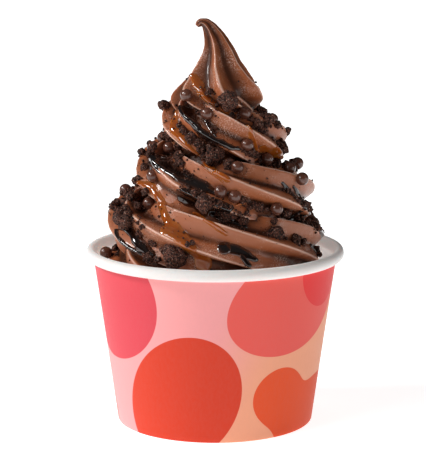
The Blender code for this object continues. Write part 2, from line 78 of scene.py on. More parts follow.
# ---- Surfaces as arrays ----------------------------------------------------------------------------
@dataclass
class Skin:
    """A surface: its points, and its faces as point numbers, anticlockwise from outside.

    points is (n, 3) in metres, quads is (m, 4) and triangles is (k, 3). depth is a value for each
    point that a finish may read, such as how thick a film is there, and crest is another. A boxed
    skin's mesh is kept inside the CAD model's box.
    """

    points: Array
    quads: Array = field(default_factory=lambda: np.empty((0, 4), int))
    triangles: Array = field(default_factory=lambda: np.empty((0, 3), int))
    depth: Array | None = None
    crest: Array | None = None
    boxed: bool = True

    @staticmethod
    def joined(skins: Iterable["Skin"]) -> "Skin":
        """One skin that holds all of these, their point numbers moved along."""
        skins = list(skins)
        starts = np.cumsum([0, *(len(skin.points) for skin in skins[:-1])])
        depths = [skin.depth for skin in skins if skin.depth is not None]
        return Skin(
            np.concatenate([skin.points for skin in skins]),
            np.concatenate([skin.quads + start for skin, start in zip(skins, starts)]),
            np.concatenate([skin.triangles + start for skin, start in zip(skins, starts)]),
            np.concatenate(depths) if len(depths) == len(skins) else None,
        )

    @staticmethod
    def of(mesh: bpy.types.Mesh) -> "Skin":
        """The points and triangles of a Blender mesh."""
        points = np.empty(len(mesh.vertices) * 3)
        mesh.vertices.foreach_get("co", points)
        mesh.calc_loop_triangles()
        triangles = np.empty(len(mesh.loop_triangles) * 3, np.int32)
        mesh.loop_triangles.foreach_get("vertices", triangles)
        return Skin(points.reshape(-1, 3), triangles=triangles.reshape(-1, 3))

    def mesh(self, name: str) -> bpy.types.Mesh:
        """A Blender mesh of this skin, shaded smooth.

        Args:
            name: name of the mesh.

        Returns:
            The mesh, with depth and crest as point attributes where the skin has them.
        """
        mesh = bpy.data.meshes.new(name)
        corners = np.concatenate([self.quads.ravel(), self.triangles.ravel()]).astype(np.int32)
        sizes = np.repeat([4, 3], [len(self.quads), len(self.triangles)])
        mesh.vertices.add(len(self.points))
        points = np.clip(self.points, *np.array(CAD_BOX)) if self.boxed else self.points
        mesh.vertices.foreach_set("co", points.astype(np.float32).ravel())
        mesh.loops.add(len(corners))
        mesh.loops.foreach_set("vertex_index", corners)
        mesh.polygons.add(len(sizes))
        mesh.polygons.foreach_set("loop_start", (np.cumsum(sizes) - sizes).astype(np.int32))
        mesh.update(calc_edges=True)
        mesh.validate()
        mesh.shade_smooth()
        for kind, values in (("depth", self.depth), ("crest", self.crest)):
            if values is not None:
                attribute = mesh.attributes.new(kind, "FLOAT", "POINT")
                attribute.data.foreach_set("value", values.astype(np.float32))
        return mesh

    def hollows(self, rounds: int) -> Array:
        """How deep each point lies in a groove: how far out the surface moves there when it is blurred.

        Args:
            rounds: how often each point is averaged with its neighbours. The blur reaches about the
                square root of this many edges.

        Returns:
            (n,) metres, negative on crests.
        """
        triangles = np.concatenate([self.triangles, self.quads[:, [0, 1, 2]], self.quads[:, [0, 2, 3]]])
        ends = np.concatenate([triangles[:, [0, 1]], triangles[:, [1, 2]], triangles[:, [2, 0]]])
        count = np.bincount(ends[:, 0], minlength=len(self.points)).clip(1)[:, None]
        blurred = self.points
        for _ in range(rounds):
            total = [np.bincount(ends[:, 0], blurred[ends[:, 1], axis], len(blurred)) for axis in range(3)]
            blurred = (blurred + np.stack(total, -1) / count) / 2
        corners = self.points[triangles]
        facing = np.cross(corners[:, 1] - corners[:, 0], corners[:, 2] - corners[:, 0])
        normals = np.stack([
            np.bincount(triangles.ravel(), np.repeat(facing[:, axis], 3), len(self.points))
            for axis in range(3)
        ], -1)
        return ((blurred - self.points) * unit(normals)).sum(-1)

    def made(self, name: str, sharp_degrees: float = 180.0) -> bpy.types.Object:
        """A scene object of this skin, its edges sharp where they fold by more than an angle.

        Args:
            name: name of the object.
            sharp_degrees: fold past which an edge is shaded sharp.

        Returns:
            The object, linked to the scene.
        """
        mesh = self.mesh(name)
        if sharp_degrees < 180:
            mesh.set_sharp_from_angle(angle=math.radians(sharp_degrees))
        obj = bpy.data.objects.new(name, mesh)
        bpy.context.scene.collection.objects.link(obj)
        return obj


def woven(grid: Array, wrap_rows: bool = False, wrap_columns: bool = True) -> Skin:
    """Quads over a grid of points: each is a point, its right neighbour and the two in the next row.

    Args:
        grid: (rows, columns, 3) points. Column direction times row direction points outwards.
        wrap_rows: whether the last row joins the first.
        wrap_columns: whether the last column joins the first.

    Returns:
        The skin, open where it isn't wrapped.
    """
    rows, columns = grid.shape[:2]
    number = np.arange(rows * columns).reshape(rows, columns)
    if wrap_rows:
        number = np.vstack([number, number[:1]])
    if wrap_columns:
        number = np.hstack([number, number[:, :1]])
    corners = [number[:-1, :-1], number[:-1, 1:], number[1:, 1:], number[1:, :-1]]
    return Skin(grid.reshape(-1, 3), np.stack(corners, -1).reshape(-1, 4))


def turned(section: Array, azimuth: Array) -> Array:
    """A section carried round the Z axis.

    Args:
        section: (rows, 2) radius and height, in mm.
        azimuth: (columns,) radians.

    Returns:
        (rows, columns, 3) places in metres.
    """
    radius, height = section[:, :1], section[:, 1:]
    around = radius * np.cos(azimuth), radius * np.sin(azimuth)
    return np.stack([*around, np.broadcast_to(height, around[0].shape)], -1) * MM


def capped(rings: Array, depth: Array | None = None) -> Skin:
    """A closed skin through rings of points, with a fan over the first and the last.

    Args:
        rings: (rings, points, 3) places.
        depth: a value for each of those points.

    Returns:
        The skin, with the two fans' middle points after the rings' own.
    """
    skin = woven(rings)
    count, around = rings.shape[:2]
    here = np.arange(around)
    ahead = np.roll(here, -1)
    middle = count * around
    last = middle - around
    skin.triangles = np.concatenate([
        np.column_stack([np.full(around, middle), ahead, here]),
        np.column_stack([np.full(around, middle + 1), last + here, last + ahead]),
    ])
    skin.points = np.concatenate([skin.points, rings[:1].mean(1), rings[-1:].mean(1)])
    if depth is not None:
        skin.depth = np.concatenate([depth.ravel(), [depth[0].mean(), depth[-1].mean()]])
    return skin


def smooth(x: Array, table: Sequence[Sequence[float]]) -> Array:
    """Cubic through the rows of a table (x, values...), its slopes taken from each row's neighbours.

    Args:
        x: places to read the table at, held within its first and last row.
        table: rows of x and one or more values.

    Returns:
        (len(x), values) the values there.
    """
    rows = np.array(table, float)
    xs, ys = rows[:, 0], rows[:, 1:]
    slopes = np.gradient(ys, xs, axis=0)
    x = np.clip(x, xs[0], xs[-1])
    low = np.clip(np.searchsorted(xs, x, side="right") - 1, 0, len(xs) - 2)
    step = (xs[low + 1] - xs[low])[:, None]
    t = (x - xs[low])[:, None] / step
    return (
        (2 * t**3 - 3 * t**2 + 1) * ys[low]
        + (t**3 - 2 * t**2 + t) * step * slopes[low]
        + (3 * t**2 - 2 * t**3) * ys[low + 1]
        + (t**3 - t**2) * step * slopes[low + 1]
    )


def unit(vectors: Array) -> Array:
    """The same directions at length 1, and zero where there is none."""
    return vectors / np.maximum(np.linalg.norm(vectors, axis=-1, keepdims=True), 1e-20)


def soft_noise(points: Array, cell: float, seed: int = 0) -> Array:
    """Smooth noise from -1 to 1: hashed values at the corners of a lattice, blended inside each cell.

    Args:
        points: (..., 3) places.
        cell: size of a lattice cell, in the points' own unit.
        seed: picks another pattern.

    Returns:
        (...) the value at each place.
    """
    place = points / cell
    corner = np.floor(place).astype(np.int64)
    inside = place - corner
    blend = inside * inside * (3 - 2 * inside)
    total = np.zeros(points.shape[:-1])
    for offset in itertools.product((0, 1), repeat=3):
        at = corner + np.array(offset)
        mixed = at[..., 0] * 73856093 ^ at[..., 1] * 19349663 ^ at[..., 2] * 83492791 ^ seed * 40503
        mixed = (mixed ^ (mixed >> 13)) * 1274126177
        value = ((mixed ^ (mixed >> 16)) & 0xFFFF) / 32767.5 - 1
        weight = np.where(np.array(offset, bool), blend, 1 - blend).prod(-1)
        total += weight * value
    return total


def largest_shell(mesh: bpy.types.Mesh) -> Skin:
    """The connected part of most volume, without the scraps and hollows that joining leaves.

    Every point takes the lowest number among its neighbours, over and over, until each part has one.
    """
    whole = Skin.of(mesh)
    points, triangles = whole.points, whole.triangles
    label = np.arange(len(points))
    ends = np.concatenate([triangles[:, [0, 1]], triangles[:, [1, 2]], triangles[:, [2, 0]]])
    while True:
        lowest = label.copy()
        np.minimum.at(lowest, ends[:, 0], label[ends[:, 1]])
        np.minimum.at(lowest, ends[:, 1], label[ends[:, 0]])
        lowest = lowest[lowest]
        if (lowest == label).all():
            break
        label = lowest
    corners = points[triangles]
    volume = np.einsum("ij,ij->i", corners[:, 0], np.cross(corners[:, 1], corners[:, 2]))
    kept = label == np.bincount(label[triangles[:, 0]], volume).argmax()
    number = np.cumsum(kept) - 1
    crest = np.empty(len(points))
    mesh.attributes["crest"].data.foreach_get("value", crest)
    return Skin(points[kept], triangles=number[triangles[kept[triangles[:, 0]]]], crest=crest[kept])


# ---- Shader graphs ---------------------------------------------------------------------------------
class Graph:
    """A material's shader graph, with short ways to add the nodes that the finishes use."""

    def __init__(self, name: str) -> None:
        """Starts a material of this name with a Principled shader."""
        self.material = bpy.data.materials.new(name)
        self.material.use_nodes = True
        self.nodes = self.material.node_tree.nodes
        self.links = self.material.node_tree.links
        self.shader = self.nodes["Principled BSDF"]
        self.place = self.nodes.new("ShaderNodeTexCoord").outputs["Object"]

    def put(self, socket: bpy.types.NodeSocket, value: object) -> None:
        """Sets a socket to a number or colour, or links another socket to it."""
        if isinstance(value, bpy.types.NodeSocket):
            self.links.new(value, socket)
        elif isinstance(value, tuple):
            socket.default_value = (*value, 1.0)[: len(socket.default_value)]
        else:
            socket.default_value = value

    def set(self, **values: object) -> None:
        """Sets the shader's sockets, named with _ for each space."""
        for name, value in values.items():
            self.put(self.shader.inputs[name.replace("_", " ")], value)

    def axes(self) -> Sequence[bpy.types.NodeSocket]:
        """X, Y and Z of the place that is shaded, in metres."""
        split = self.nodes.new("ShaderNodeSeparateXYZ")
        self.links.new(self.place, split.inputs[0])
        return split.outputs

    def math(self, operation: str, *values: object, clamp: bool = False) -> bpy.types.NodeSocket:
        """A Math node on these values."""
        node = self.nodes.new("ShaderNodeMath")
        node.operation = operation
        node.use_clamp = clamp
        for socket, value in zip(node.inputs, values):
            self.put(socket, value)
        return node.outputs[0]

    def mix(self, factor: object, low: object, high: object) -> bpy.types.NodeSocket:
        """A colour between two, by a factor from 0 to 1."""
        node = self.nodes.new("ShaderNodeMix")
        node.data_type = "RGBA"
        self.put(node.inputs[0], factor)
        self.put(node.inputs[6], low)
        self.put(node.inputs[7], high)
        return node.outputs[2]

    def between(self, value: object, low: float, high: float, start: float = 0.0,
                end: float = 1.0) -> bpy.types.NodeSocket:
        """A value's place from low to high, eased and laid out from start to end."""
        node = self.nodes.new("ShaderNodeMapRange")
        node.interpolation_type = "SMOOTHSTEP"
        for socket, given in zip(node.inputs, (value, low, high, start, end)):
            self.put(socket, given)
        return node.outputs[0]

    def noise(self, size: float, detail: float = 2.0, roughness: float = 0.5,
              stretch: Colour = (1.0, 1.0, 1.0)) -> bpy.types.NodeSocket:
        """Noise from 0 to 1, of features about this size in metres."""
        mapping = self.nodes.new("ShaderNodeMapping")
        mapping.inputs["Scale"].default_value = stretch
        self.links.new(self.place, mapping.inputs["Vector"])
        node = self.nodes.new("ShaderNodeTexNoise")
        self.links.new(mapping.outputs[0], node.inputs["Vector"])
        node.inputs["Scale"].default_value = 1 / size
        node.inputs["Detail"].default_value = detail
        node.inputs["Roughness"].default_value = roughness
        return node.outputs[0]

    def cells(self, size: float) -> bpy.types.NodeSocket:
        """Distance to the nearest of points scattered about this far apart, in metres, 0 at each."""
        node = self.nodes.new("ShaderNodeTexVoronoi")
        self.links.new(self.place, node.inputs["Vector"])
        node.inputs["Scale"].default_value = 1 / size
        return node.outputs["Distance"]

    def near(self, centre: Colour, reach: float) -> bpy.types.NodeSocket:
        """1 at a place, falling to 0 at this reach from it, both in metres."""
        node = self.nodes.new("ShaderNodeVectorMath")
        node.operation = "DISTANCE"
        self.links.new(self.place, node.inputs[0])
        node.inputs[1].default_value = centre
        return self.between(node.outputs["Value"], reach, 0.0)

    def bump(self, height: object, distance: float) -> None:
        """Roughens the shader by a height from 0 to 1 that stands for this many metres."""
        node = self.nodes.new("ShaderNodeBump")
        node.inputs["Strength"].default_value = 1.0
        node.inputs["Distance"].default_value = distance
        self.put(node.inputs["Height"], height)
        previous = self.shader.inputs["Normal"].links
        if previous:
            self.links.new(previous[0].from_socket, node.inputs["Normal"])
        self.links.new(node.outputs[0], self.shader.inputs["Normal"])

    def attribute(self, name: str) -> bpy.types.NodeSocket:
        """A point attribute's value."""
        node = self.nodes.new("ShaderNodeAttribute")
        node.attribute_name = name
        return node.outputs["Fac"]


# ---- Finishes --------------------------------------------------------------------------------------
@dataclass(frozen=True)
class SoftServeFinish:
    """Whipped chocolate ice cream: a moist milk brown, paler where it is frosted, with a fine grain, with
    painted shade in its grooves and painted highlights on its crests and raised parts.

    frost_and_glint_places has rows of the middle and reach of a patch of pale specks, partly frosted grain
    and partly painted glints, in mm, and painted_light_top is such a row for the swirl's top, which is
    painted a little lighter all over.

    The skin's depth is in mm, negative on raised parts, and its crest is 1 on a ridge line.
    """

    # light and dark are the ends of the body colour; it runs between them mostly by painted shade and light.
    light: Colour = (0.365, 0.105, 0.038)
    dark: Colour = (0.062, 0.0155, 0.0048)
    frost_and_highlight: Colour = (0.82, 0.54, 0.43)
    frost_and_glint_places: tuple[tuple[float, float, float, float], ...] = (
        (-3.9, -16.1, 143.9, 6.0), (-19.3, -30.5, 109.9, 7.0), (-27.3, -37.2, 89.0, 8.0),
        (-0.8, -48.5, 83.8, 8.0), (7.0, -6.7, 162.0, 10.0), (4.3, -24.5, 133.7, 6.0),
        (-5.0, -12.0, 153.0, 11.0), (12.0, -14.0, 148.0, 10.0),
    )
    painted_light_top: tuple[float, float, float, float] = (6.0, -10.0, 150.0, 30.0)
    slot: str = "chocolate_soft_serve"

    def material(self) -> bpy.types.Material:
        """Builds the material."""
        graph = Graph(self.slot)
        depth = graph.attribute("depth")
        # Painted shade: darker in the grooves and lighter on raised parts, by the depth attribute.
        raised = graph.between(depth, 0.45, -1.15)
        # Painted highlight: the most raised parts are lifted towards the pale colour.
        lifted = graph.between(depth, -0.8, -1.8, 0.0, 0.08)
        # Painted highlight: a pale line along each ridge's crest.
        crest = graph.between(graph.attribute("crest"), 0.9, 1.0)
        # Painted shade: darker midway between ridges, by the crest attribute.
        groove = graph.between(graph.attribute("crest"), 0.0, 0.6, -0.42, 0.14)
        blotches = graph.between(graph.noise(14 * MM, 3), 0.3, 0.7, -0.12, 0.12)
        # The body colour runs from dark to light mostly by painted shade and light, with random blotches.
        mottle_and_painted_shade = graph.math("ADD", raised, blotches)
        # Painted light: the swirl's top is a little lighter all over.
        mottle_and_painted_shade = graph.math("ADD", mottle_and_painted_shade, graph.math("MULTIPLY", self.around(graph, self.painted_light_top), 0.5))
        mottle_and_painted_shade = graph.math("ADD", mottle_and_painted_shade, groove, clamp=True)
        body = graph.mix(mottle_and_painted_shade, self.dark, self.light)
        # Pale specks in patches, partly frosted grain and partly painted glints, kept out of the grooves.
        specks = graph.between(graph.noise(0.55 * MM, 2, 0.6), 0.48, 0.66)
        patches = graph.between(graph.noise(9 * MM, 2), 0.46, 0.66, 0.0, 0.55)
        for row in self.frost_and_glint_places:
            patches = graph.math("MAXIMUM", patches, self.around(graph, row))
        frost_and_glints = graph.math("MULTIPLY", specks, patches)
        frost_and_glints = graph.math("MULTIPLY", frost_and_glints, graph.between(depth, 1.2, 0.0))
        # The pale colour takes in those specks, the painted crest highlights and the painted highlight of
        # raised parts.
        pale = graph.math("ADD", graph.math("MULTIPLY", frost_and_glints, 0.75), graph.math("MULTIPLY", crest, 0.7))
        pale = graph.math("ADD", pale, lifted, clamp=True)
        graph.set(
            Base_Color=graph.mix(pale, body, self.frost_and_highlight),
            Roughness=graph.between(graph.noise(5 * MM, 2), 0.3, 0.7, 0.36, 0.52),
            Subsurface_Weight=0.2,
            Subsurface_Radius=(1.0, 0.45, 0.3),
            Subsurface_Scale=1.6 * MM,
            Specular_IOR_Level=0.2,
            Coat_Weight=0.26,
            Coat_Roughness=0.1,
        )
        graph.bump(graph.noise(0.5 * MM, 3, 0.6), 0.17 * MM)
        graph.bump(graph.noise(2.6 * MM, 2), 0.25 * MM)
        return graph.material

    @staticmethod
    def around(graph: Graph, row: tuple[float, float, float, float]) -> bpy.types.NodeSocket:
        """1 in the middle of a row's place, falling to 0 at its reach."""
        *middle, reach = (value * MM for value in row)
        return graph.near(tuple(middle), reach)


@dataclass(frozen=True)
class SauceFinish:
    """A glossy sauce, clearer at its thin edges than where it lies deep."""

    slot: str
    deep: Colour
    thin: Colour
    glow: float
    roughness: float = 0.07
    gloss: float = 0.4

    def material(self) -> bpy.types.Material:
        """Builds the material."""
        graph = Graph(self.slot)
        cover = graph.between(graph.attribute("depth"), 0.1, 0.95)
        graph.set(
            Base_Color=graph.mix(cover, self.thin, self.deep),
            Roughness=self.roughness,
            Subsurface_Weight=self.glow,
            Subsurface_Radius=(1.0, 0.4, 0.1),
            Subsurface_Scale=1.5 * MM,
            Specular_IOR_Level=self.gloss,
            Coat_Weight=self.gloss / 2,
            Coat_Roughness=0.03,
        )
        graph.bump(graph.noise(6 * MM, 1), 0.16 * MM)
        return graph.material


@dataclass(frozen=True)
class PearlFinish:
    """Polished chocolate coating over a crisp pearl, with a little bloom."""

    polished: Colour = (0.105, 0.034, 0.02)
    bloom: Colour = (0.22, 0.09, 0.06)
    slot: str = "chocolate_pearl"

    def material(self) -> bpy.types.Material:
        """Builds the material."""
        graph = Graph(self.slot)
        dusty = graph.between(graph.noise(1.6 * MM, 3), 0.5, 0.72)
        graph.set(
            Base_Color=graph.mix(graph.math("MULTIPLY", dusty, 0.5), self.polished, self.bloom),
            Roughness=graph.between(dusty, 0.0, 1.0, 0.24, 0.38),
            Specular_IOR_Level=0.4,
            Coat_Weight=0.5,
            Coat_Roughness=0.1,
        )
        graph.bump(graph.noise(0.9 * MM, 2), 0.06 * MM)
        return graph.material


@dataclass(frozen=True)
class CookieFinish:
    """Dark cocoa cookie: matte, grainy and pitted, with small painted glints: pale specks in its colour,
    where it is also smoother.
    """

    dark: Colour = (0.014, 0.0056, 0.0042)
    light: Colour = (0.19, 0.066, 0.041)
    painted_glint: Colour = (0.62, 0.4, 0.31)
    slot: str = "dark_cookie"

    def material(self) -> bpy.types.Material:
        """Builds the material."""
        graph = Graph(self.slot)
        grain = graph.noise(0.8 * MM, 4, 0.65)
        # Painted glints: small pale specks mixed into the colour, where the surface is also smoother.
        glints = graph.between(graph.noise(0.6 * MM, 1), 0.62, 0.7)
        crumb = graph.mix(graph.between(grain, 0.42, 0.68), self.dark, self.light)
        graph.set(
            Base_Color=graph.mix(graph.math("MULTIPLY", glints, 0.45), crumb, self.painted_glint),
            Roughness=graph.between(glints, 0.0, 1.0, 0.75, 0.18),
            Specular_IOR_Level=0.22,
        )
        graph.bump(grain, 0.5 * MM)
        graph.bump(graph.cells(0.8 * MM), 0.3 * MM)
        return graph.material


class Ink(Enum):
    """The print's colours, as linear RGB."""

    PINK = (0.93, 0.37, 0.37)
    PEACH = (0.90, 0.39, 0.24)
    CRIMSON = (0.70, 0.068, 0.09)
    CORAL = (0.83, 0.112, 0.092)
    BERRY_RED = (0.79, 0.038, 0.038)
    TOMATO = (0.68, 0.052, 0.021)
    TANGERINE = (0.79, 0.087, 0.022)


@dataclass(frozen=True)
class Spot:
    """A rounded spot of ink: an ellipse on the unrolled wall, which may run into a second one.

    azimuth is in degrees from the front, to the right; the other sizes are in mm, and tilt lifts the
    right end of the ellipse, in degrees.
    """

    ink: Ink
    azimuth: float
    height: float
    half_width: float
    half_height: float
    tilt: float = 0.0
    merged_with: "Spot | None" = None
    merge_ease: float = 0.75

    def edge(self, graph: Graph, around: object, radius: object, height: object) -> bpy.types.NodeSocket:
        """How far out a place is in the ellipse, 1 on its edge: the length of its two scaled offsets.

        Args:
            graph: the material's graph.
            around: socket of the azimuth from the front, in radians.
            radius: socket of the distance from the axis, in metres.
            height: socket of the height, in metres.

        Returns:
            Socket of the distance, eased into the other ellipse's where two merge.
        """
        turned = graph.math("SUBTRACT", around, math.radians(self.azimuth))
        arc = graph.math("MULTIPLY", graph.math("WRAP", turned, math.pi, -math.pi), radius)
        rise = graph.math("SUBTRACT", height, self.height * MM)
        cosine, sine = math.cos(math.radians(self.tilt)), math.sin(math.radians(self.tilt))
        along = graph.math("ADD", graph.math("MULTIPLY", arc, cosine), graph.math("MULTIPLY", rise, sine))
        across = graph.math(
            "SUBTRACT", graph.math("MULTIPLY", rise, cosine), graph.math("MULTIPLY", arc, sine)
        )
        scaled = [
            graph.math("POWER", graph.math("ABSOLUTE", graph.math("DIVIDE", offset, half * MM)), 2.0)
            for offset, half in ((along, self.half_width), (across, self.half_height))
        ]
        out = graph.math("SQRT", graph.math("ADD", *scaled))
        if self.merged_with:
            other = self.merged_with.edge(graph, around, radius, height)
            out = graph.math("SMOOTH_MIN", out, other, self.merge_ease)
        return out


@dataclass(frozen=True)
class PaperFinish:
    """Coated white paperboard, plain or printed with spots on a ground that turns from pink to peach.

    The ground turns at azimuth 0 at turn_height, in mm, and turn_lean is how fast that line leans to
    the right with height, per metre. fibre and fibre_share are the colour of the paper's fibres and
    how strongly they show.
    painted_inner_glow is how strongly its inner side glows with painted light that brightens it where it lies
    in shade; that side lies between the two radii of inner_side, in mm: none at the first and all of it at
    the second.
    """

    slot: str
    white: Colour = (0.86, 0.845, 0.82)
    spots: tuple[Spot, ...] = ()
    edge_share: float = 0.004
    turn_height: float = 30.0
    turn_lean: float = 11.0
    fibre: Colour = (0.45, 0.32, 0.3)
    fibre_share: float = 0.035
    translucence: float = 0.0
    painted_inner_glow: float = 0.0
    inner_side: tuple[float, float] = (56.8, 54.4)

    def material(self) -> bpy.types.Material:
        """Builds the material."""
        graph = Graph(self.slot)
        colour: object = self.white
        if self.spots:
            colour = self.inked(graph)
        fibres = graph.noise(1.1 * MM, 3, 0.6, (1.0, 1.0, 0.45))
        shade = graph.math("MULTIPLY", graph.between(fibres, 0.3, 0.7), self.fibre_share)
        graph.set(
            Base_Color=graph.mix(shade, colour, self.fibre),
            Roughness=graph.between(fibres, 0.3, 0.7, 0.45, 0.55),
            Subsurface_Weight=self.translucence,
            Subsurface_Radius=(1.0, 0.85, 0.8),
            Subsurface_Scale=2.5 * MM,
            Specular_IOR_Level=0.15,
        )
        # Painted light: the inner side glows, to brighten it where it lies in shade.
        if self.painted_inner_glow:
            outer, inner = self.inner_side
            inward = graph.between(self.radius(graph), outer * MM, inner * MM)
            graph.set(
                Emission_Color=graph.mix(inward, (0.0, 0.0, 0.0), self.white),
                Emission_Strength=self.painted_inner_glow,
            )
        graph.bump(fibres, 0.02 * MM)
        graph.bump(graph.noise(9 * MM, 1), 0.08 * MM)
        return graph.material

    def radius(self, graph: Graph) -> bpy.types.NodeSocket:
        """Distance from the cup's axis, in metres."""
        x, y, _ = graph.axes()
        squares = graph.math("ADD", graph.math("MULTIPLY", x, x), graph.math("MULTIPLY", y, y))
        return graph.math("SQRT", squares)

    def inked(self, graph: Graph) -> bpy.types.NodeSocket:
        """The print's colour, from the azimuth about the axis and the height up the wall."""
        x, y, height = graph.axes()
        radius = self.radius(graph)
        around = graph.math("ARCTAN2", x, graph.math("MULTIPLY", y, -1.0))
        above = graph.math("SUBTRACT", height, self.turn_height * MM)
        lean = graph.math("MULTIPLY", above, self.turn_lean)
        side = graph.math("SUBTRACT", graph.math("SINE", around), lean)
        colour = graph.mix(graph.between(side, -0.3, 0.5), Ink.PINK.value, Ink.PEACH.value)
        for spot in self.spots:
            out = spot.edge(graph, around, radius, height)
            inside = graph.between(out, 1 + self.edge_share, 1 - self.edge_share)
            colour = graph.mix(inside, colour, spot.ink.value)
        return colour


SPOTS = (
    Spot(Ink.CORAL, 45.0, 64.8, 36.9, 25.0, 21.6),
    Spot(Ink.BERRY_RED, 63.0, 76.0, 18.0, 19.5),
    Spot(Ink.CRIMSON, -62.8, 62.2, 31.4, 29.3),
    Spot(Ink.TOMATO, -18.6, 19.0, 31.4, 24.4, 54.0),
    Spot(Ink.TANGERINE, 37.5, 19.2, 13.6, 13.0, 0.0, Spot(Ink.TANGERINE, 74.0, 5.5, 30.0, 18.5)),
    Spot(Ink.CORAL, -112.0, 10.0, 27.0, 22.0, -20.0),
    Spot(Ink.CRIMSON, 128.0, 44.0, 27.0, 24.0, 30.0),
    Spot(Ink.TOMATO, -160.0, 58.0, 24.0, 22.0, -35.0, Spot(Ink.TOMATO, -128.0, 78.0, 15.0, 14.0)),
    Spot(Ink.TANGERINE, 172.0, 8.0, 30.0, 19.0, 12.0),
)
INSIDE_PAPER = PaperFinish("white_paperboard", (0.84, 0.825, 0.81), translucence=0.9)
# The lining glows with painted light on the cup's inner side.
LINING_PAPER = PaperFinish("paperboard_lining", (0.84, 0.82, 0.8), translucence=0.9, painted_inner_glow=0.3)
PRINTED_PAPER = PaperFinish("printed_paperboard", spots=SPOTS)
SOFT_SERVE = SoftServeFinish()
PEARL_COAT = PearlFinish()
DARK_COOKIE = CookieFinish()
CARAMEL = SauceFinish("caramel_sauce", (0.34, 0.078, 0.009), (0.44, 0.14, 0.035), 0.35, gloss=0.8)
CHOCOLATE = SauceFinish("chocolate_sauce", (0.007, 0.0026, 0.0018), (0.09, 0.026, 0.012), 0.0, 0.05, 0.7)


@functools.cache
def material_of(finish: object) -> bpy.types.Material:
    """The one material of a finish, built when it is first asked for."""
    return finish.material()


def dressed(piece: bpy.types.Object, finish: object, *nodes: str) -> bpy.types.Object:
    """Gives a finished piece its material and its body, and hides the CAD nodes that it stands for."""
    if not piece.data.materials:
        piece.data.materials.append(material_of(finish))
    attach(piece, ROOT)
    if nodes:
        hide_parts(*nodes)
    log.info("%s: %d faces", piece.name, len(piece.data.polygons))
    return piece


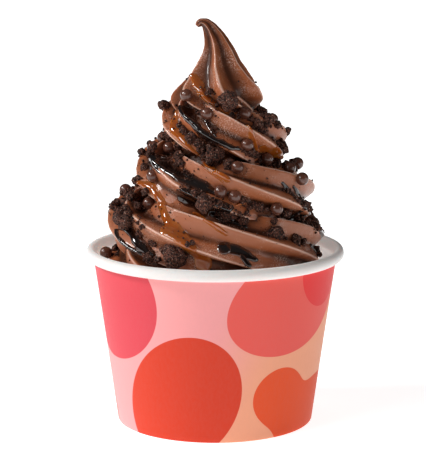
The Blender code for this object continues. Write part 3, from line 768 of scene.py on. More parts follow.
# ---- Paper cup -------------------------------------------------------------------------------------
@dataclass
class PaperCup:
    """Tapered wall rolled from one sheet with an overlap at the back, a curled rim and a bottom disc.

    Sizes are in mm.
    """

    height: float = 78.6
    foot_radius: float = 43.7
    wall_top_radius: float = 54.1
    rim_radius: float = 57.5
    rim_width: float = 4.2
    rim_thickness: float = 5.1
    paper: float = 0.6
    foot_recess: float = 6.0
    hem_thickness: float = 1.2
    disc_thickness: float = 0.8
    fold_radius: float = 0.45
    overlap_azimuth: float = 96.0
    overlap_width: float = 8.0
    overlap_rise: float = 0.28
    columns: int = 288
    disc_points: int = 14

    def wall_radius(self, height: Array) -> Array:
        """Outer radius of the wall: a straight line from the foot's radius to the top's."""
        share = np.asarray(height) / (self.height - self.rim_thickness)
        return self.foot_radius + (self.wall_top_radius - self.foot_radius) * share

    def outline(self) -> tuple[Array, Array]:
        """The wall's section, down the outside, round the foot and the hem, up the inside and over the rim.

        Returns:
            (n, 2) radius and height in mm, and for each row the number of its paper: 0 plain, 1 printed
            and 2 lining.
        """
        under_rim = self.height - self.rim_thickness
        middle = (self.rim_radius - self.rim_width / 2, self.height - self.rim_thickness / 2)
        roll = np.radians(np.linspace(180, -118, 40))
        rim = np.column_stack([
            middle[0] + self.rim_width / 2 * np.cos(roll),
            middle[1] + self.rim_thickness / 2 * np.sin(roll),
        ])
        outside = np.linspace(under_rim - 0.1, self.fold_radius, 40)
        wall = np.column_stack([self.wall_radius(outside), outside])
        turn = np.radians(np.linspace(0, -90, 6))[1:]
        fold = np.column_stack([
            self.foot_radius + self.fold_radius * (np.cos(turn) - 1),
            self.fold_radius * (1 + np.sin(turn)),
        ])
        hem = self.foot_radius - self.hem_thickness
        rise = np.linspace(0, self.foot_recess - 0.3, 10)
        inner_hem = np.column_stack([self.wall_radius(rise) - self.hem_thickness, rise])
        inside = np.linspace(self.foot_recess - 0.2, under_rim, 30)
        lining = np.column_stack([self.wall_radius(inside) - self.paper, inside])
        parts = [wall, fold, [[hem + 0.2, 0.0]], inner_hem + [[0.0, 0.05]], lining, rim]
        papers = np.repeat([1, 1, 0, 0, 2, 2], [len(part) for part in parts])
        return np.concatenate(parts), papers

    def wall(self) -> bpy.types.Object:
        """The wall: its outline carried round the axis, a little out where the sheet overlaps itself."""
        section, papers = self.outline()
        edges = math.radians(self.overlap_azimuth) + np.array([0, self.overlap_width / self.foot_radius])
        ramp = math.radians(0.12)
        azimuth = np.linspace(0, 2 * np.pi, self.columns, endpoint=False)
        azimuth = np.unique(np.concatenate([azimuth, edges, edges[:1] - ramp, edges[1:] + ramp]))
        lifted = (azimuth >= edges[0] - 1e-9) & (azimuth <= edges[1] + 1e-9)
        under_rim = section[:, 1] < self.height - self.rim_thickness
        out = section[None, :, 0] + self.overlap_rise * lifted[:, None] * (under_rim & (papers == 1))[None]
        # The sheet isn't quite round, and furthest from it half-way up.
        waves = 0.1 * np.sin(3 * azimuth + 0.6) + 0.06 * np.sin(7 * azimuth + 2.0)
        share = np.clip(section[:, 1] / (self.height - self.rim_thickness), 0, 1)
        out = out - np.abs(waves[:, None]) * np.sin(np.pi * share)[None]
        grid = np.stack([
            out * np.cos(azimuth)[:, None],
            out * np.sin(azimuth)[:, None],
            np.broadcast_to(section[:, 1], out.shape),
        ], -1) * MM
        wall = woven(grid, wrap_rows=True).made("paper_cup", 50)
        for finish in (INSIDE_PAPER, PRINTED_PAPER, LINING_PAPER):
            wall.data.materials.append(material_of(finish))
        kinds = np.where(papers == np.roll(papers, -1), papers, 0)
        wall.data.polygons.foreach_set("material_index", np.tile(kinds, len(azimuth)).astype(np.int32))
        return dressed(wall, PRINTED_PAPER, "cup_wall")

    def disc(self) -> bpy.types.Object:
        """The bottom disc: a shallow tray whose edge is glued inside the wall, above the hem."""
        low, high = self.foot_recess, self.foot_recess + self.disc_thickness
        edge = self.wall_radius(low) - self.paper - 0.3
        rim = edge - 0.35 * (1 - np.cos(np.linspace(0, np.pi, 9)))
        flat = np.linspace(edge - 0.8, 0.4, self.disc_points)
        outwards = flat[::-1]
        section = np.concatenate([
            np.column_stack([outwards, high - 0.12 * (outwards / edge) ** 4]),
            np.column_stack([rim[:5], high - 0.1 * np.arange(5)]),
            np.column_stack([rim[:5][::-1], low + 0.08 * np.arange(4, -1, -1)]),
            np.column_stack([flat, low + 0.25 * (1 - flat / edge)]),
        ])
        azimuth = np.linspace(0, 2 * np.pi, self.columns // 2, endpoint=False)
        skin = capped(turned(section, azimuth)[::-1])
        return dressed(skin.made("cup_bottom", 50), INSIDE_PAPER, "cup_base")


# ---- Ice cream -------------------------------------------------------------------------------------
@dataclass(frozen=True)
class Detail:
    """How finely the ice cream is made, and whether its small relief is on it."""

    section_points: int
    steps_per_turn: int
    tip_rings: int
    filling_steps: int
    relief: bool


SKETCH = Detail(18, 18, 22, 24, False)
FULL = Detail(108, 108, 110, 144, True)


@dataclass
class Swirl:
    """One rope from a star nozzle: filling, turns and pulled tip.

    coil has rows of turn, centre radius, height and rope radius; tip has rows of sideways place,
    height and radius; filling has rows of radius and height. coil_twist and tip_twist have rows of
    turn or height and how far the ridges stand on from ridge_azimuth, in degrees. relief_heights are
    those of the swells, ripples, draw lines, tears and grain. Lengths are in mm.
    """

    coil: tuple[tuple[float, ...], ...] = (
        (-1.50, 33.0, 48.0, 14.5),
        (-1.00, 34.0, 58.5, 14.5),
        (-0.50, 33.8, 69.0, 14.2),
        (0.00, 35.0, 79.5, 14.0),
        (0.25, 35.0, 86.0, 14.0),
        (0.50, 34.0, 89.5, 14.0),
        (1.00, 30.6, 101.5, 14.4),
        (1.50, 21.6, 112.5, 13.4),
        (2.00, 18.8, 125.5, 13.4),
        (2.50, 11.8, 134.5, 12.0),
        (3.00, 7.5, 141.0, 12.5),
        (3.30, 3.0, 144.5, 11.0),
    )
    tip: tuple[tuple[float, ...], ...] = (
        (0.2, 134.0, 15.0),
        (0.4, 140.0, 18.7),
        (0.8, 145.5, 20.5),
        (2.0, 150.0, 18.9),
        (2.1, 154.0, 15.3),
        (1.85, 159.0, 11.5),
        (1.4, 165.0, 7.9),
        (0.3, 169.5, 5.7),
        (-1.1, 173.0, 4.3),
        (-2.7, 175.8, 3.2),
        (-4.4, 177.5, 2.4),
        (-6.0, 177.9, 1.8),
        (-7.2, 177.1, 1.6),
        (-7.9, 176.3, 1.0),
    )
    coil_twist: tuple[tuple[float, float], ...] = (
        (-1.5, 0.0), (1.8, 0.0), (1.95, 0.0), (2.3, 14.0), (2.45, 14.0), (3.3, 14.0)
    )
    tip_twist: tuple[tuple[float, float], ...] = (
        (134.0, 100.0), (140.0, 62.0), (143.0, 44.0), (147.0, 25.0), (150.0, 16.0), (154.0, 10.0),
        (159.0, 4.0), (165.0, 1.0),
    )
    filling: tuple[tuple[float, ...], ...] = (
        (0, 143), (7, 138), (14, 124), (22, 106), (32, 92), (36, 78), (44, 66)
    )
    fill_level: float = 60.0
    fill_foot: float = 7.1
    wall_foot: float = 43.7
    wall_spread: float = 10.4
    wall_height: float = 73.5
    wall_gap: float = 0.9
    ridges: int = 6
    ridge_azimuth: float = math.radians(258)
    solid_ridge: tuple[float, float] = (0.24, 1.3)
    ridge_depth: float = 0.36
    crest_round: float = 0.2
    crest_points: float = 0.6
    lengths_per_turn: int = 2
    plug: tuple[float, float] = (0.012, 0.85)
    lean_heights: tuple[float, float] = (152.0, 163.0)
    flutes_end_radius: float = 4.0
    groove_blur: int = 60
    relief_heights: tuple[float, ...] = (0.38, 0.12, 0.19, 0.16, 0.035)

    def near_ridge(self, from_ridge: Array, rings: int) -> Array:
        """How near each point of a capped length of rope is to a ridge line.

        Args:
            from_ridge: (points,) angles on the section.
            rings: number of its rings.

        Returns:
            (rings * points + 2,) 1 on a ridge line, falling evenly to 0 midway between two.
        """
        step = 2 * np.pi / self.ridges
        off = np.abs((from_ridge + step / 2) % step - step / 2)
        return np.append(np.tile(1 - off / (step / 2), rings), [0.0, 0.0])

    def star(self, from_ridge: Array, relief: bool) -> Array:
        """Share of the full radius that a section reaches.

        For the solids it is 1 less the depth times |s| to a power, where s is sin(ridges / 2 * angle).
        With relief it is 1 less the depth times sqrt(s^2 + c^2) - c over its largest value, which
        rounds the crests by c.
        """
        wave = np.sin(self.ridges * from_ridge / 2)
        if not relief:
            depth, power = self.solid_ridge
            return 1 - depth * np.abs(wave) ** power
        c = self.crest_round
        return 1 - self.ridge_depth * (np.sqrt(wave**2 + c**2) - c) / (math.sqrt(1 + c**2) - c)

    def centre(self, turn: Array) -> Array:
        """The rope's centre line: a spiral whose radius and height follow the coil table."""
        phi = -2 * np.pi * turn
        radius, height, _ = smooth(turn, self.coil).T * MM
        return np.stack([radius * np.cos(phi), radius * np.sin(phi), height], -1)

    def relief(self, places: Array, outward: Array, from_ridge: Array, along: Array) -> Array:
        """Slow swells, fine draw lines along the rope and small tears on its crests.

        Args:
            places: (rings, points, 3) smooth surface.
            outward: (rings, points, 3) directions to move it along.
            from_ridge: (points,) angle on the section.
            along: (rings,) place along the rope, in radians of turn.

        Returns:
            The surface with its relief.
        """
        swell, ripple, draw, tear, grain = self.relief_heights
        height = swell * soft_noise(places, 11 * MM, 1) + ripple * soft_noise(places, 3.4 * MM, 2)
        lines = np.stack(np.broadcast_arrays(
            12 * np.cos(from_ridge)[None], 12 * np.sin(from_ridge)[None], 1.6 * along[:, None]
        ), -1)
        height = height + draw * soft_noise(lines, 1.0, 3)
        crest = np.exp(-((np.sin(self.ridges * from_ridge / 2) / 0.3) ** 2))[None]
        height = height + tear * crest * soft_noise(places, 1.5 * MM, 4)
        height = height + grain * soft_noise(places, 0.8 * MM, 5)
        return places + outward * (height * MM)[..., None]

    def coil_rings(self, turn: Array, from_ridge: Array, relief: bool) -> Array:
        """Star sections square to the rope's centre line, each ridge keeping its compass direction.

        Args:
            turn: (rings,) places along the coil, in turns.
            from_ridge: (points,) angles from the first ridge.
            relief: whether the small relief is added.

        Returns:
            (rings, points, 3) the rope's surface, its inner side held clear of the axis.
        """
        phi = -2 * np.pi * turn
        outward = np.stack([np.cos(phi), np.sin(phi), 0 * phi], -1)
        along = unit(self.centre(turn + 0.001) - self.centre(turn - 0.001))
        side = unit(outward - (outward * along).sum(-1, keepdims=True) * along)
        up = np.cross(along, side)
        twist = np.radians(smooth(turn, self.coil_twist))
        theta = self.ridge_azimuth - phi[:, None] + twist + from_ridge
        direction = np.cos(theta)[..., None] * side[:, None] + np.sin(theta)[..., None] * up[:, None]
        reach = smooth(turn, self.coil)[:, 2:] * MM * self.star(from_ridge, relief)
        rings = self.centre(turn)[:, None] + reach[..., None] * direction
        if relief:
            rings = self.relief(rings, direction, from_ridge, phi)
        past_axis = np.minimum((rings * outward[:, None]).sum(-1) - MM, 0)
        return rings - past_axis[..., None] * outward[:, None]

    def tip_rings(self, count: int, from_ridge: Array, relief: bool) -> Array:
        """Star sections along the tip's hooked centre line, closer together towards its thin end.

        They are level up to the first of lean_heights, and square to the line from the second up.

        Args:
            count: number of rings.
            from_ridge: (points,) angles from the first ridge.
            relief: whether the small relief is added.

        Returns:
            (count, points, 3) the tip's surface.
        """
        rows = np.array(self.tip) * MM
        length = np.concatenate([[0], np.hypot(*np.diff(rows[:, :2], axis=0).T).cumsum()])
        table = np.column_stack([length, rows])
        at = length[-1] * (1 - (1 - np.linspace(0, 1, count)) ** 1.3)
        across, height, radius = smooth(at, table).T
        nudge = length[-1] / 1000
        ahead, behind = smooth(at + nudge, table), smooth(at - nudge, table)
        start, end = np.array(self.lean_heights) * MM
        lean = np.clip((height - start) / (end - start), 0, 1)
        rise = ahead - behind
        along = unit(np.column_stack([rise[:, 0] * lean, 0 * at, rise[:, 1]]))
        away = np.broadcast_to([0.0, 1.0, 0.0], along.shape)
        side = np.cross(away, along)
        twist = np.radians(smooth(height / MM, self.tip_twist))
        theta = self.ridge_azimuth + twist + from_ridge
        fluted = np.clip(radius / (self.flutes_end_radius * MM), 0, 1)[:, None]
        reach = radius[:, None] * (1 - fluted * (1 - self.star(from_ridge, relief)))
        direction = np.cos(theta)[..., None] * side[:, None] + np.sin(theta)[..., None] * away[:, None]
        rings = np.column_stack([across, 0 * at, height])[:, None] + reach[..., None] * direction
        if relief:
            softened = direction * np.clip(radius / (9 * MM), 0.15, 1)[:, None, None]
            rings = self.relief(rings, softened, from_ridge, height / (9 * MM))
        return rings

    def filling_rings(self, steps: int, relief: bool) -> Array:
        """The ice cream inside the rope and in the cup, turned about the axis.

        Args:
            steps: points round the axis.
            relief: whether its free top is uneven.

        Returns:
            (rings, steps, 3) from the foot up, the last ring near the axis.
        """
        in_cup = [
            (self.wall_foot + self.wall_spread * height / self.wall_height - self.wall_gap, height)
            for height in (self.fill_foot, self.fill_level)
        ]
        section = np.array([*in_cup, *self.filling[::-1]], float)
        section[-1, 0] = 0.02
        if relief:
            at = np.linspace(1, len(section) - 1, 60)
            fine = smooth(at, np.column_stack([np.arange(len(section)), section]))
            section = np.concatenate([section[:1], np.linspace(section[0], section[1], 12)[1:-1], fine])
        azimuth = np.linspace(0, 2 * np.pi, steps, endpoint=False)
        rings = turned(section, azimuth)
        if relief:
            free = np.clip((section[:, 1] - self.fill_level) / 2, 0, 1)[:, None]
            uneven = 0.8 * soft_noise(rings, 9 * MM, 6) + 0.3 * soft_noise(rings, 3 * MM, 7)
            rings[..., 2] += free * uneven * MM
        return rings

    def skins(self, detail: Detail) -> Iterator[Skin]:
        """The filling, each length of rope with a plug into its neighbours, and the tip."""
        around = np.linspace(0, 2 * np.pi, detail.section_points, endpoint=False)
        if detail.relief:
            # More of the points lie near the crests.
            around = around - self.crest_points / self.ridges * np.sin(self.ridges * around)
        filling = capped(self.filling_rings(detail.filling_steps, detail.relief))
        filling.crest = np.zeros(len(filling.points))
        yield filling
        first, last = self.coil[0][0], self.coil[-1][0]
        cuts = [*np.arange(first, last, 1 / self.lengths_per_turn), last]
        reach, share = self.plug
        for start, end in zip(cuts, cuts[1:]):
            steps = max(2, round((end - start) * detail.steps_per_turn))
            rings = self.coil_rings(np.linspace(start, end, steps + 1), around, detail.relief)
            plugs = self.coil_rings(np.array([start - reach, end + reach]), around, False)
            middles = plugs.mean(axis=1, keepdims=True)
            plugs = middles + share * (plugs - middles)
            rope = capped(np.concatenate([plugs[:1], rings, plugs[1:]]))
            rope.crest = self.near_ridge(around, len(rings) + 2)
            yield rope
        tip = capped(self.tip_rings(detail.tip_rings, around, detail.relief))
        tip.crest = self.near_ridge(around, detail.tip_rings)
        yield tip

    def piece(self) -> bpy.types.Object:
        """The whole of the ice cream as one closed skin, joined by one Boolean."""
        solid, *others = [skin.made(f"part_{i}") for i, skin in enumerate(self.skins(FULL))]
        parts = bpy.data.collections.new("rope")
        bpy.context.scene.collection.children.link(parts)
        for part in others:
            bpy.context.scene.collection.objects.unlink(part)
            parts.objects.link(part)
        union = solid.modifiers.new("fuse", "BOOLEAN")
        union.operation = "UNION"
        union.operand_type = "COLLECTION"
        union.collection = parts
        union.solver = "MANIFOLD"
        graph = bpy.context.evaluated_depsgraph_get()
        joined = bpy.data.meshes.new_from_object(solid.evaluated_get(graph))
        skin = largest_shell(joined)
        # Depth in grooves, with the crest attribute, drives the finish's painted shade and painted
        # highlights.
        skin.depth = skin.hollows(self.groove_blur) / MM
        piece = skin.made("soft_serve", 60)
        for part in (solid, *others):
            bpy.data.objects.remove(part)
        bpy.data.collections.remove(parts)
        return dressed(piece, SOFT_SERVE, "ice_cream")


# ---- Where toppings land ---------------------------------------------------------------------------
SIDE_SLOPE = 20.0


class Landing:
    """A surface that things land on, each along a line that comes down at a slope from outside."""

    start = 0.2

    def __init__(self, skins: Iterable[Skin], slope: float = 35.0, like_solids: bool = False) -> None:
        """Takes the surface in.

        Args:
            skins: its parts.
            slope: how steeply the lines come down, in degrees.
            like_solids: whether quads are split the way the solids' are, across the better diagonal.
        """
        self.slope = math.radians(slope)
        whole = Skin.joined(skins)
        if like_solids:
            shell = bmesh.new()
            shell.from_mesh(whole.mesh("sketch"))
            bmesh.ops.triangulate(shell, faces=shell.faces)
            self.tree = BVHTree.FromBMesh(shell)
            shell.free()
        else:
            faces = [*whole.quads.tolist(), *whole.triangles.tolist()]
            self.tree = BVHTree.FromPolygons(whole.points.tolist(), faces)

    @staticmethod
    def of(pieces: Iterable[bpy.types.Object], slope: float = 35.0) -> "Landing":
        """The surface of finished pieces, for lines at a slope in degrees."""
        return Landing([Skin.of(piece.data) for piece in pieces], slope)

    def inbound(self, azimuth: Array) -> Array:
        """Directions from the axis back along the lines, from azimuths in degrees."""
        turn = np.radians(azimuth)
        flat, rise = math.cos(self.slope), math.sin(self.slope)
        return np.stack([np.cos(turn) * flat, np.sin(turn) * flat, np.full(np.shape(turn), rise)], -1)

    def land(self, azimuth: Array, aim: Array) -> tuple[Array, Array, Array]:
        """Where lines towards heights on the axis first meet the surface.

        Args:
            azimuth: degrees from +X.
            aim: heights on the axis that the lines point at, in mm.

        Returns:
            Points, outward directions, and distances of the points from the axis along the lines. A
            line that misses gives nan.
        """
        azimuth, aim = np.broadcast_arrays(np.asarray(azimuth, float), np.asarray(aim, float))
        back = self.inbound(azimuth)
        starts = back * self.start
        starts[..., 2] += aim * MM
        missed = Vector((math.nan,) * 3)
        hits = [
            self.tree.ray_cast(start, -way)[:2]
            for start, way in zip(map(Vector, starts.reshape(-1, 3)), map(Vector, back.reshape(-1, 3)))
        ]
        found = np.array([(*(point or missed), *(normal or missed)) for point, normal in hits])
        points = found[:, :3].reshape(starts.shape)
        distance = self.start - np.linalg.norm(points - starts, axis=-1)
        return points, found[:, 3:].reshape(starts.shape), distance


@dataclass
class Topping:
    """One thing on the ice cream: where it was aimed, where it lies, its length and how it is turned.

    azimuth is in degrees and aim in mm; the lengths are in metres.
    """

    azimuth: float
    aim: float
    length: float
    point: Vector
    normal: Vector
    sides: Array = field(default_factory=lambda: np.ones(3))
    turn: Array = field(default_factory=lambda: np.eye(3))

    def draw_lump(self, rng: random.Random, corners: int) -> None:
        """Draws the sides and the turn of a cookie lump, past the solids' draw for each corner."""
        self.sides = np.array([1, rng.uniform(0.78, 0.95), rng.uniform(0.7, 0.9)])
        for _ in range(corners):
            rng.uniform(0.84, 1.06)
        angle = rng.uniform(0, math.tau)
        axis = Vector([rng.gauss(0, 1) for _ in range(3)])
        self.turn = np.array(Matrix.Rotation(angle, 3, axis))


@dataclass
class Scatter:
    """The rule by which pearls, cookie pieces and crumbs lie on the ice cream, the same as the solids'.

    Rows are (azimuth, aim height) and, for cookie, a length, in degrees and mm. ledge_rise is how
    level a place has to be to count as a ledge, steep_share is the share kept of those that aren't,
    apart is the room between toppings, in mm, and chunk_rise is how far a large piece's middle
    stands out, as a share of its length.
    """

    pearl: float = 5.8
    front_pearls: tuple[tuple[float, float], ...] = (
        (-130, 133.5), (-98, 125.5), (-51, 125.0), (-58, 109.5), (-71, 97.0), (-31, 102.5),
        (-11, 91.0), (-24, 83.0), (-163, 107.5), (174, 110.0), (168, 101.5), (155, 69.5),
        (-148, 76.5), (-145, 90.5), (-86, 84.0), (-77, 81.5), (-48, 73.5),
    )
    wedged_pearl: tuple[float, float, float] = (181, 48.7, 75.4)
    chunk_rows: tuple[tuple[float, float, float], ...] = (
        (-72, 132.0, 8.5), (-3, 104.5, 8.0), (-90, 108.0, 10.0), (-96, 78.0, 9.0),
        (-81, 73.0, 8.0), (-147, 65.0, 10.5), (-112, 53.5, 11.5), (-53, 60.0, 8.0),
        (60, 80.0, 10.0), (100, 104.0, 9.0), (132, 62.0, 10.5), (20, 56.0, 9.5),
    )
    chunk_corners: int = 42
    chunk_seed: int = 20
    crumb_rows: tuple[tuple[float, float, float], ...] = (
        (-99, 138.5, 3.5), (-179, 125.5, 5.5), (-2, 124.0, 5.0), (-29, 119.0, 5.5),
        (-40, 118.5, 5.0), (-37, 114.0, 5.5), (-19, 114.0, 3.5), (-127, 117.5, 4.0),
        (-117, 114.0, 5.5), (-107, 111.5, 3.5), (-125, 103.5, 4.0), (-120, 99.5, 4.5),
        (-160, 115.0, 5.0), (-146, 112.0, 4.5), (172, 96.5, 4.0), (-165, 92.5, 4.0),
        (-76, 99.5, 5.5), (-55, 105.5, 4.5), (-47, 104.5, 3.5), (-17, 97.0, 4.5),
        (-159, 85.0, 4.5), (-146, 81.0, 4.0), (178, 64.5, 5.0), (-165, 74.5, 6.0),
        (-152, 72.5, 4.5), (-164, 64.5, 4.5), (-138, 59.0, 3.5), (-71, 70.0, 5.0),
        (-59, 76.0, 4.5), (-38, 71.0, 5.0), (-13, 65.5, 5.0), (-16, 56.5, 4.0),
        (-39, 54.5, 5.0), (-10, 47.0, 5.0), (-127, 48.0, 5.0),
    )
    crumb_corners: int = 12
    back_pearls: int = 12
    back_crumbs: int = 28
    back_crumb_lengths: tuple[float, float] = (6.5, 3.0)
    back_seed: int = 7
    back_azimuths: tuple[float, float] = (8, 165)
    back_heights: tuple[float, float] = (46, 128)
    tries: int = 400
    ledge_rise: float = 0.15
    steep_share: float = 0.25
    apart: float = 0.8
    chunk_rise: float = 0.175
    pearls: list[Topping] = field(default_factory=list)
    chunks: list[Topping] = field(default_factory=list)
    crumbs: list[Topping] = field(default_factory=list)

    def aimed(self, bare: Landing, azimuth: float, aim: float, length: float) -> Topping:
        """A topping of this length in metres, where it lands on the bare ice cream."""
        point, normal, _ = bare.land(azimuth, aim)
        return Topping(azimuth, aim, length, Vector(point), Vector(normal))

    def strewn(self, bare: Landing, lengths: Iterable[float], taken: list[tuple[Vector, float]],
               rng: random.Random) -> Iterator[Topping]:
        """Toppings round the back at seeded places, mostly on ledges and clear of what lies there.

        Args:
            bare: the bare ice cream.
            lengths: the toppings' lengths in metres, the largest first.
            taken: (place, radius) of what lies there already, which this adds to.
            rng: the seeded generator.

        Yields:
            Each topping that finds a place.
        """
        for length in lengths:
            for _ in range(self.tries):
                aim = rng.uniform(*self.back_heights)
                found = self.aimed(bare, rng.uniform(*self.back_azimuths), aim, length)
                steep = found.normal.z < self.ledge_rise
                if math.isnan(found.point.x) or (steep and rng.random() > self.steep_share):
                    continue
                room = length / 2 + self.apart * MM
                if all((found.point - place).length > room + radius for place, radius in taken):
                    taken.append((found.point, length / 2))
                    yield found
                    break

    def settle(self, bare: Landing) -> None:
        """Lands every topping on the bare ice cream, in the solids' order of draws."""
        taken: list[tuple[Vector, float]] = []
        rng = random.Random(self.chunk_seed)
        for azimuth, aim, length in self.chunk_rows:
            chunk = self.aimed(bare, azimuth, aim, length * MM)
            chunk.draw_lump(rng, self.chunk_corners)
            self.chunks.append(chunk)
            taken.append((chunk.point + chunk.normal * chunk.length * self.chunk_rise, chunk.length / 2))
        for azimuth, aim in self.front_pearls:
            self.pearls.append(self.aimed(bare, azimuth, aim, self.pearl * MM))
            taken.append((self.pearls[-1].point, self.pearl * MM / 2))
        rng = random.Random(self.back_seed)
        self.pearls += self.strewn(bare, [self.pearl * MM] * self.back_pearls, taken, rng)
        self.crumbs = [
            self.aimed(bare, azimuth, aim, length * MM) for azimuth, aim, length in self.crumb_rows
        ]
        taken += [(crumb.point, crumb.length / 2) for crumb in self.crumbs]
        lengths = np.linspace(*self.back_crumb_lengths, self.back_crumbs) * MM
        self.crumbs += self.strewn(bare, lengths, taken, rng)
        for crumb in self.crumbs:
            crumb.draw_lump(rng, self.crumb_corners)


# ---- Sauces ----------------------------------------------------------------------------------------
@dataclass(frozen=True)
class Run:
    """One run of sauce over the ice cream.

    stations has rows of azimuth in degrees, aim height in mm and half width in mm; rise is how far
    the film stands up in its middle, in mm. across is the number of points over its width and step
    the distance between stations, in mm. sunk is how far its underside lies below the surface, in
    mm, levelling how often it is blurred to fill creases, and steepest how fast it may climb from
    its middle.
    """

    stations: tuple[tuple[float, float, float], ...]
    rise: float = 0.8
    seed: int = 0
    across: int = 17
    step: float = 0.55
    sunk: float = 0.5
    levelling: int = 14
    steepest: float = 1.6

    def skin(self, surface: Landing) -> Skin:
        """The film: a lens-shaped section carried along the run, on the surface with its creases filled.

        The film's footprint is a grid over azimuth and aim height: stations along it, and offsets
        square to it. Each point's distance from the axis is the surface's own, raised to a blurred
        copy where that lies further out, so that sauce bridges creases, but it doesn't climb from its
        middle faster than steepest times the offset. Its top stands out by
        (1 - u^2)^0.85 of its rise at a share u of its half width, and both ends are rounded.

        Args:
            surface: what the sauce runs over.

        Returns:
            The closed film, its depth attribute the share of the full rise.
        """
        table = [(i, *station) for i, station in enumerate(self.stations)]
        azimuth, aim, half = smooth(np.linspace(0, len(table) - 1, 200), table).T
        middle, _, reach = surface.land(azimuth, aim)
        radius = np.nan_to_num(reach, nan=float(np.nanmean(reach))) * math.cos(surface.slope)
        run = np.stack([np.radians(azimuth) * radius.mean(), aim * MM], -1)
        length = np.concatenate([[0], np.linalg.norm(np.diff(run, axis=0), axis=1).cumsum()])
        count = max(8, round(length[-1] / (self.step * MM)))
        at = np.linspace(0, length[-1], count)
        azimuth, aim, half, radius = (
            np.interp(at, length, values) for values in (azimuth, aim, half, radius)
        )
        way = unit(np.stack([np.gradient(np.radians(azimuth)) * radius, np.gradient(aim) * MM], -1))
        wobble = np.stack([at, 0 * at, 0 * at + self.seed], -1)
        ragged = 0.2 * soft_noise(wobble, 5 * MM, self.seed)
        ragged = ragged + 0.13 * soft_noise(wobble, 2 * MM, self.seed + 9)
        half = half * MM * (1 + ragged)
        from_end = np.minimum(at, length[-1] - at) / half
        rounded = np.sqrt(np.clip(1 - (1 - np.clip(from_end + 0.02, 0, 1)) ** 2, 0, 1))
        share = np.linspace(-1, 1, self.across)
        offset = (half * rounded)[:, None] * share
        azimuths = azimuth[:, None] + np.degrees(offset * -way[:, 1:] / radius[:, None])
        aims = aim[:, None] + offset * way[:, :1] / MM
        _, normal, bare = surface.land(azimuths, aims)
        bare = self.mended(bare)
        middles = bare[:, self.across // 2, None]
        bare = np.minimum(bare, middles + np.abs(offset) * self.steepest + 0.4 * MM)
        level = bare.copy()
        for _ in range(self.levelling):
            level = np.maximum(bare, self.blurred(level))
        facing = np.clip((normal * surface.inbound(azimuths)).sum(-1), 0.45, 1)
        facing = np.where(np.isfinite(facing), facing, 0.7)
        lens = (1 - share**2) ** 0.85 * rounded[:, None] ** 0.7
        swell = 1 + 0.2 * soft_noise(np.stack([at, 0 * at + 1, 0 * at], -1), 7 * MM, self.seed + 1)
        film = self.rise * MM * swell[:, None] * lens / self.blurred(facing)
        top = bare + (level - bare) * lens + film - 0.12 * MM * (1 - lens)
        under = bare[:, ::-2] - self.sunk * MM
        out = np.concatenate([top, under], axis=1)
        azimuths = np.concatenate([azimuths, azimuths[:, ::-2]], axis=1)
        aims = np.concatenate([aims, aims[:, ::-2]], axis=1)
        rings = surface.inbound(azimuths) * out[..., None]
        rings[..., 2] += aims * MM
        depth = np.concatenate([lens, 0 * under], axis=1)
        return capped(rings[:, ::-1], depth[:, ::-1])

    @staticmethod
    def mended(heights: Array) -> Array:
        """Heights with each miss set to the mean of what its row does hit."""
        means = np.nanmean(heights, axis=1, keepdims=True)
        return np.where(np.isfinite(heights), heights, means)

    @staticmethod
    def blurred(heights: Array) -> Array:
        """Each height averaged with its four neighbours, the outer ones repeated past the edge."""
        padded = np.pad(heights, 1, mode="edge")
        around = padded[:-2, 1:-1] + padded[2:, 1:-1] + padded[1:-1, :-2] + padded[1:-1, 2:]
        return (heights * 2 + around) / 6


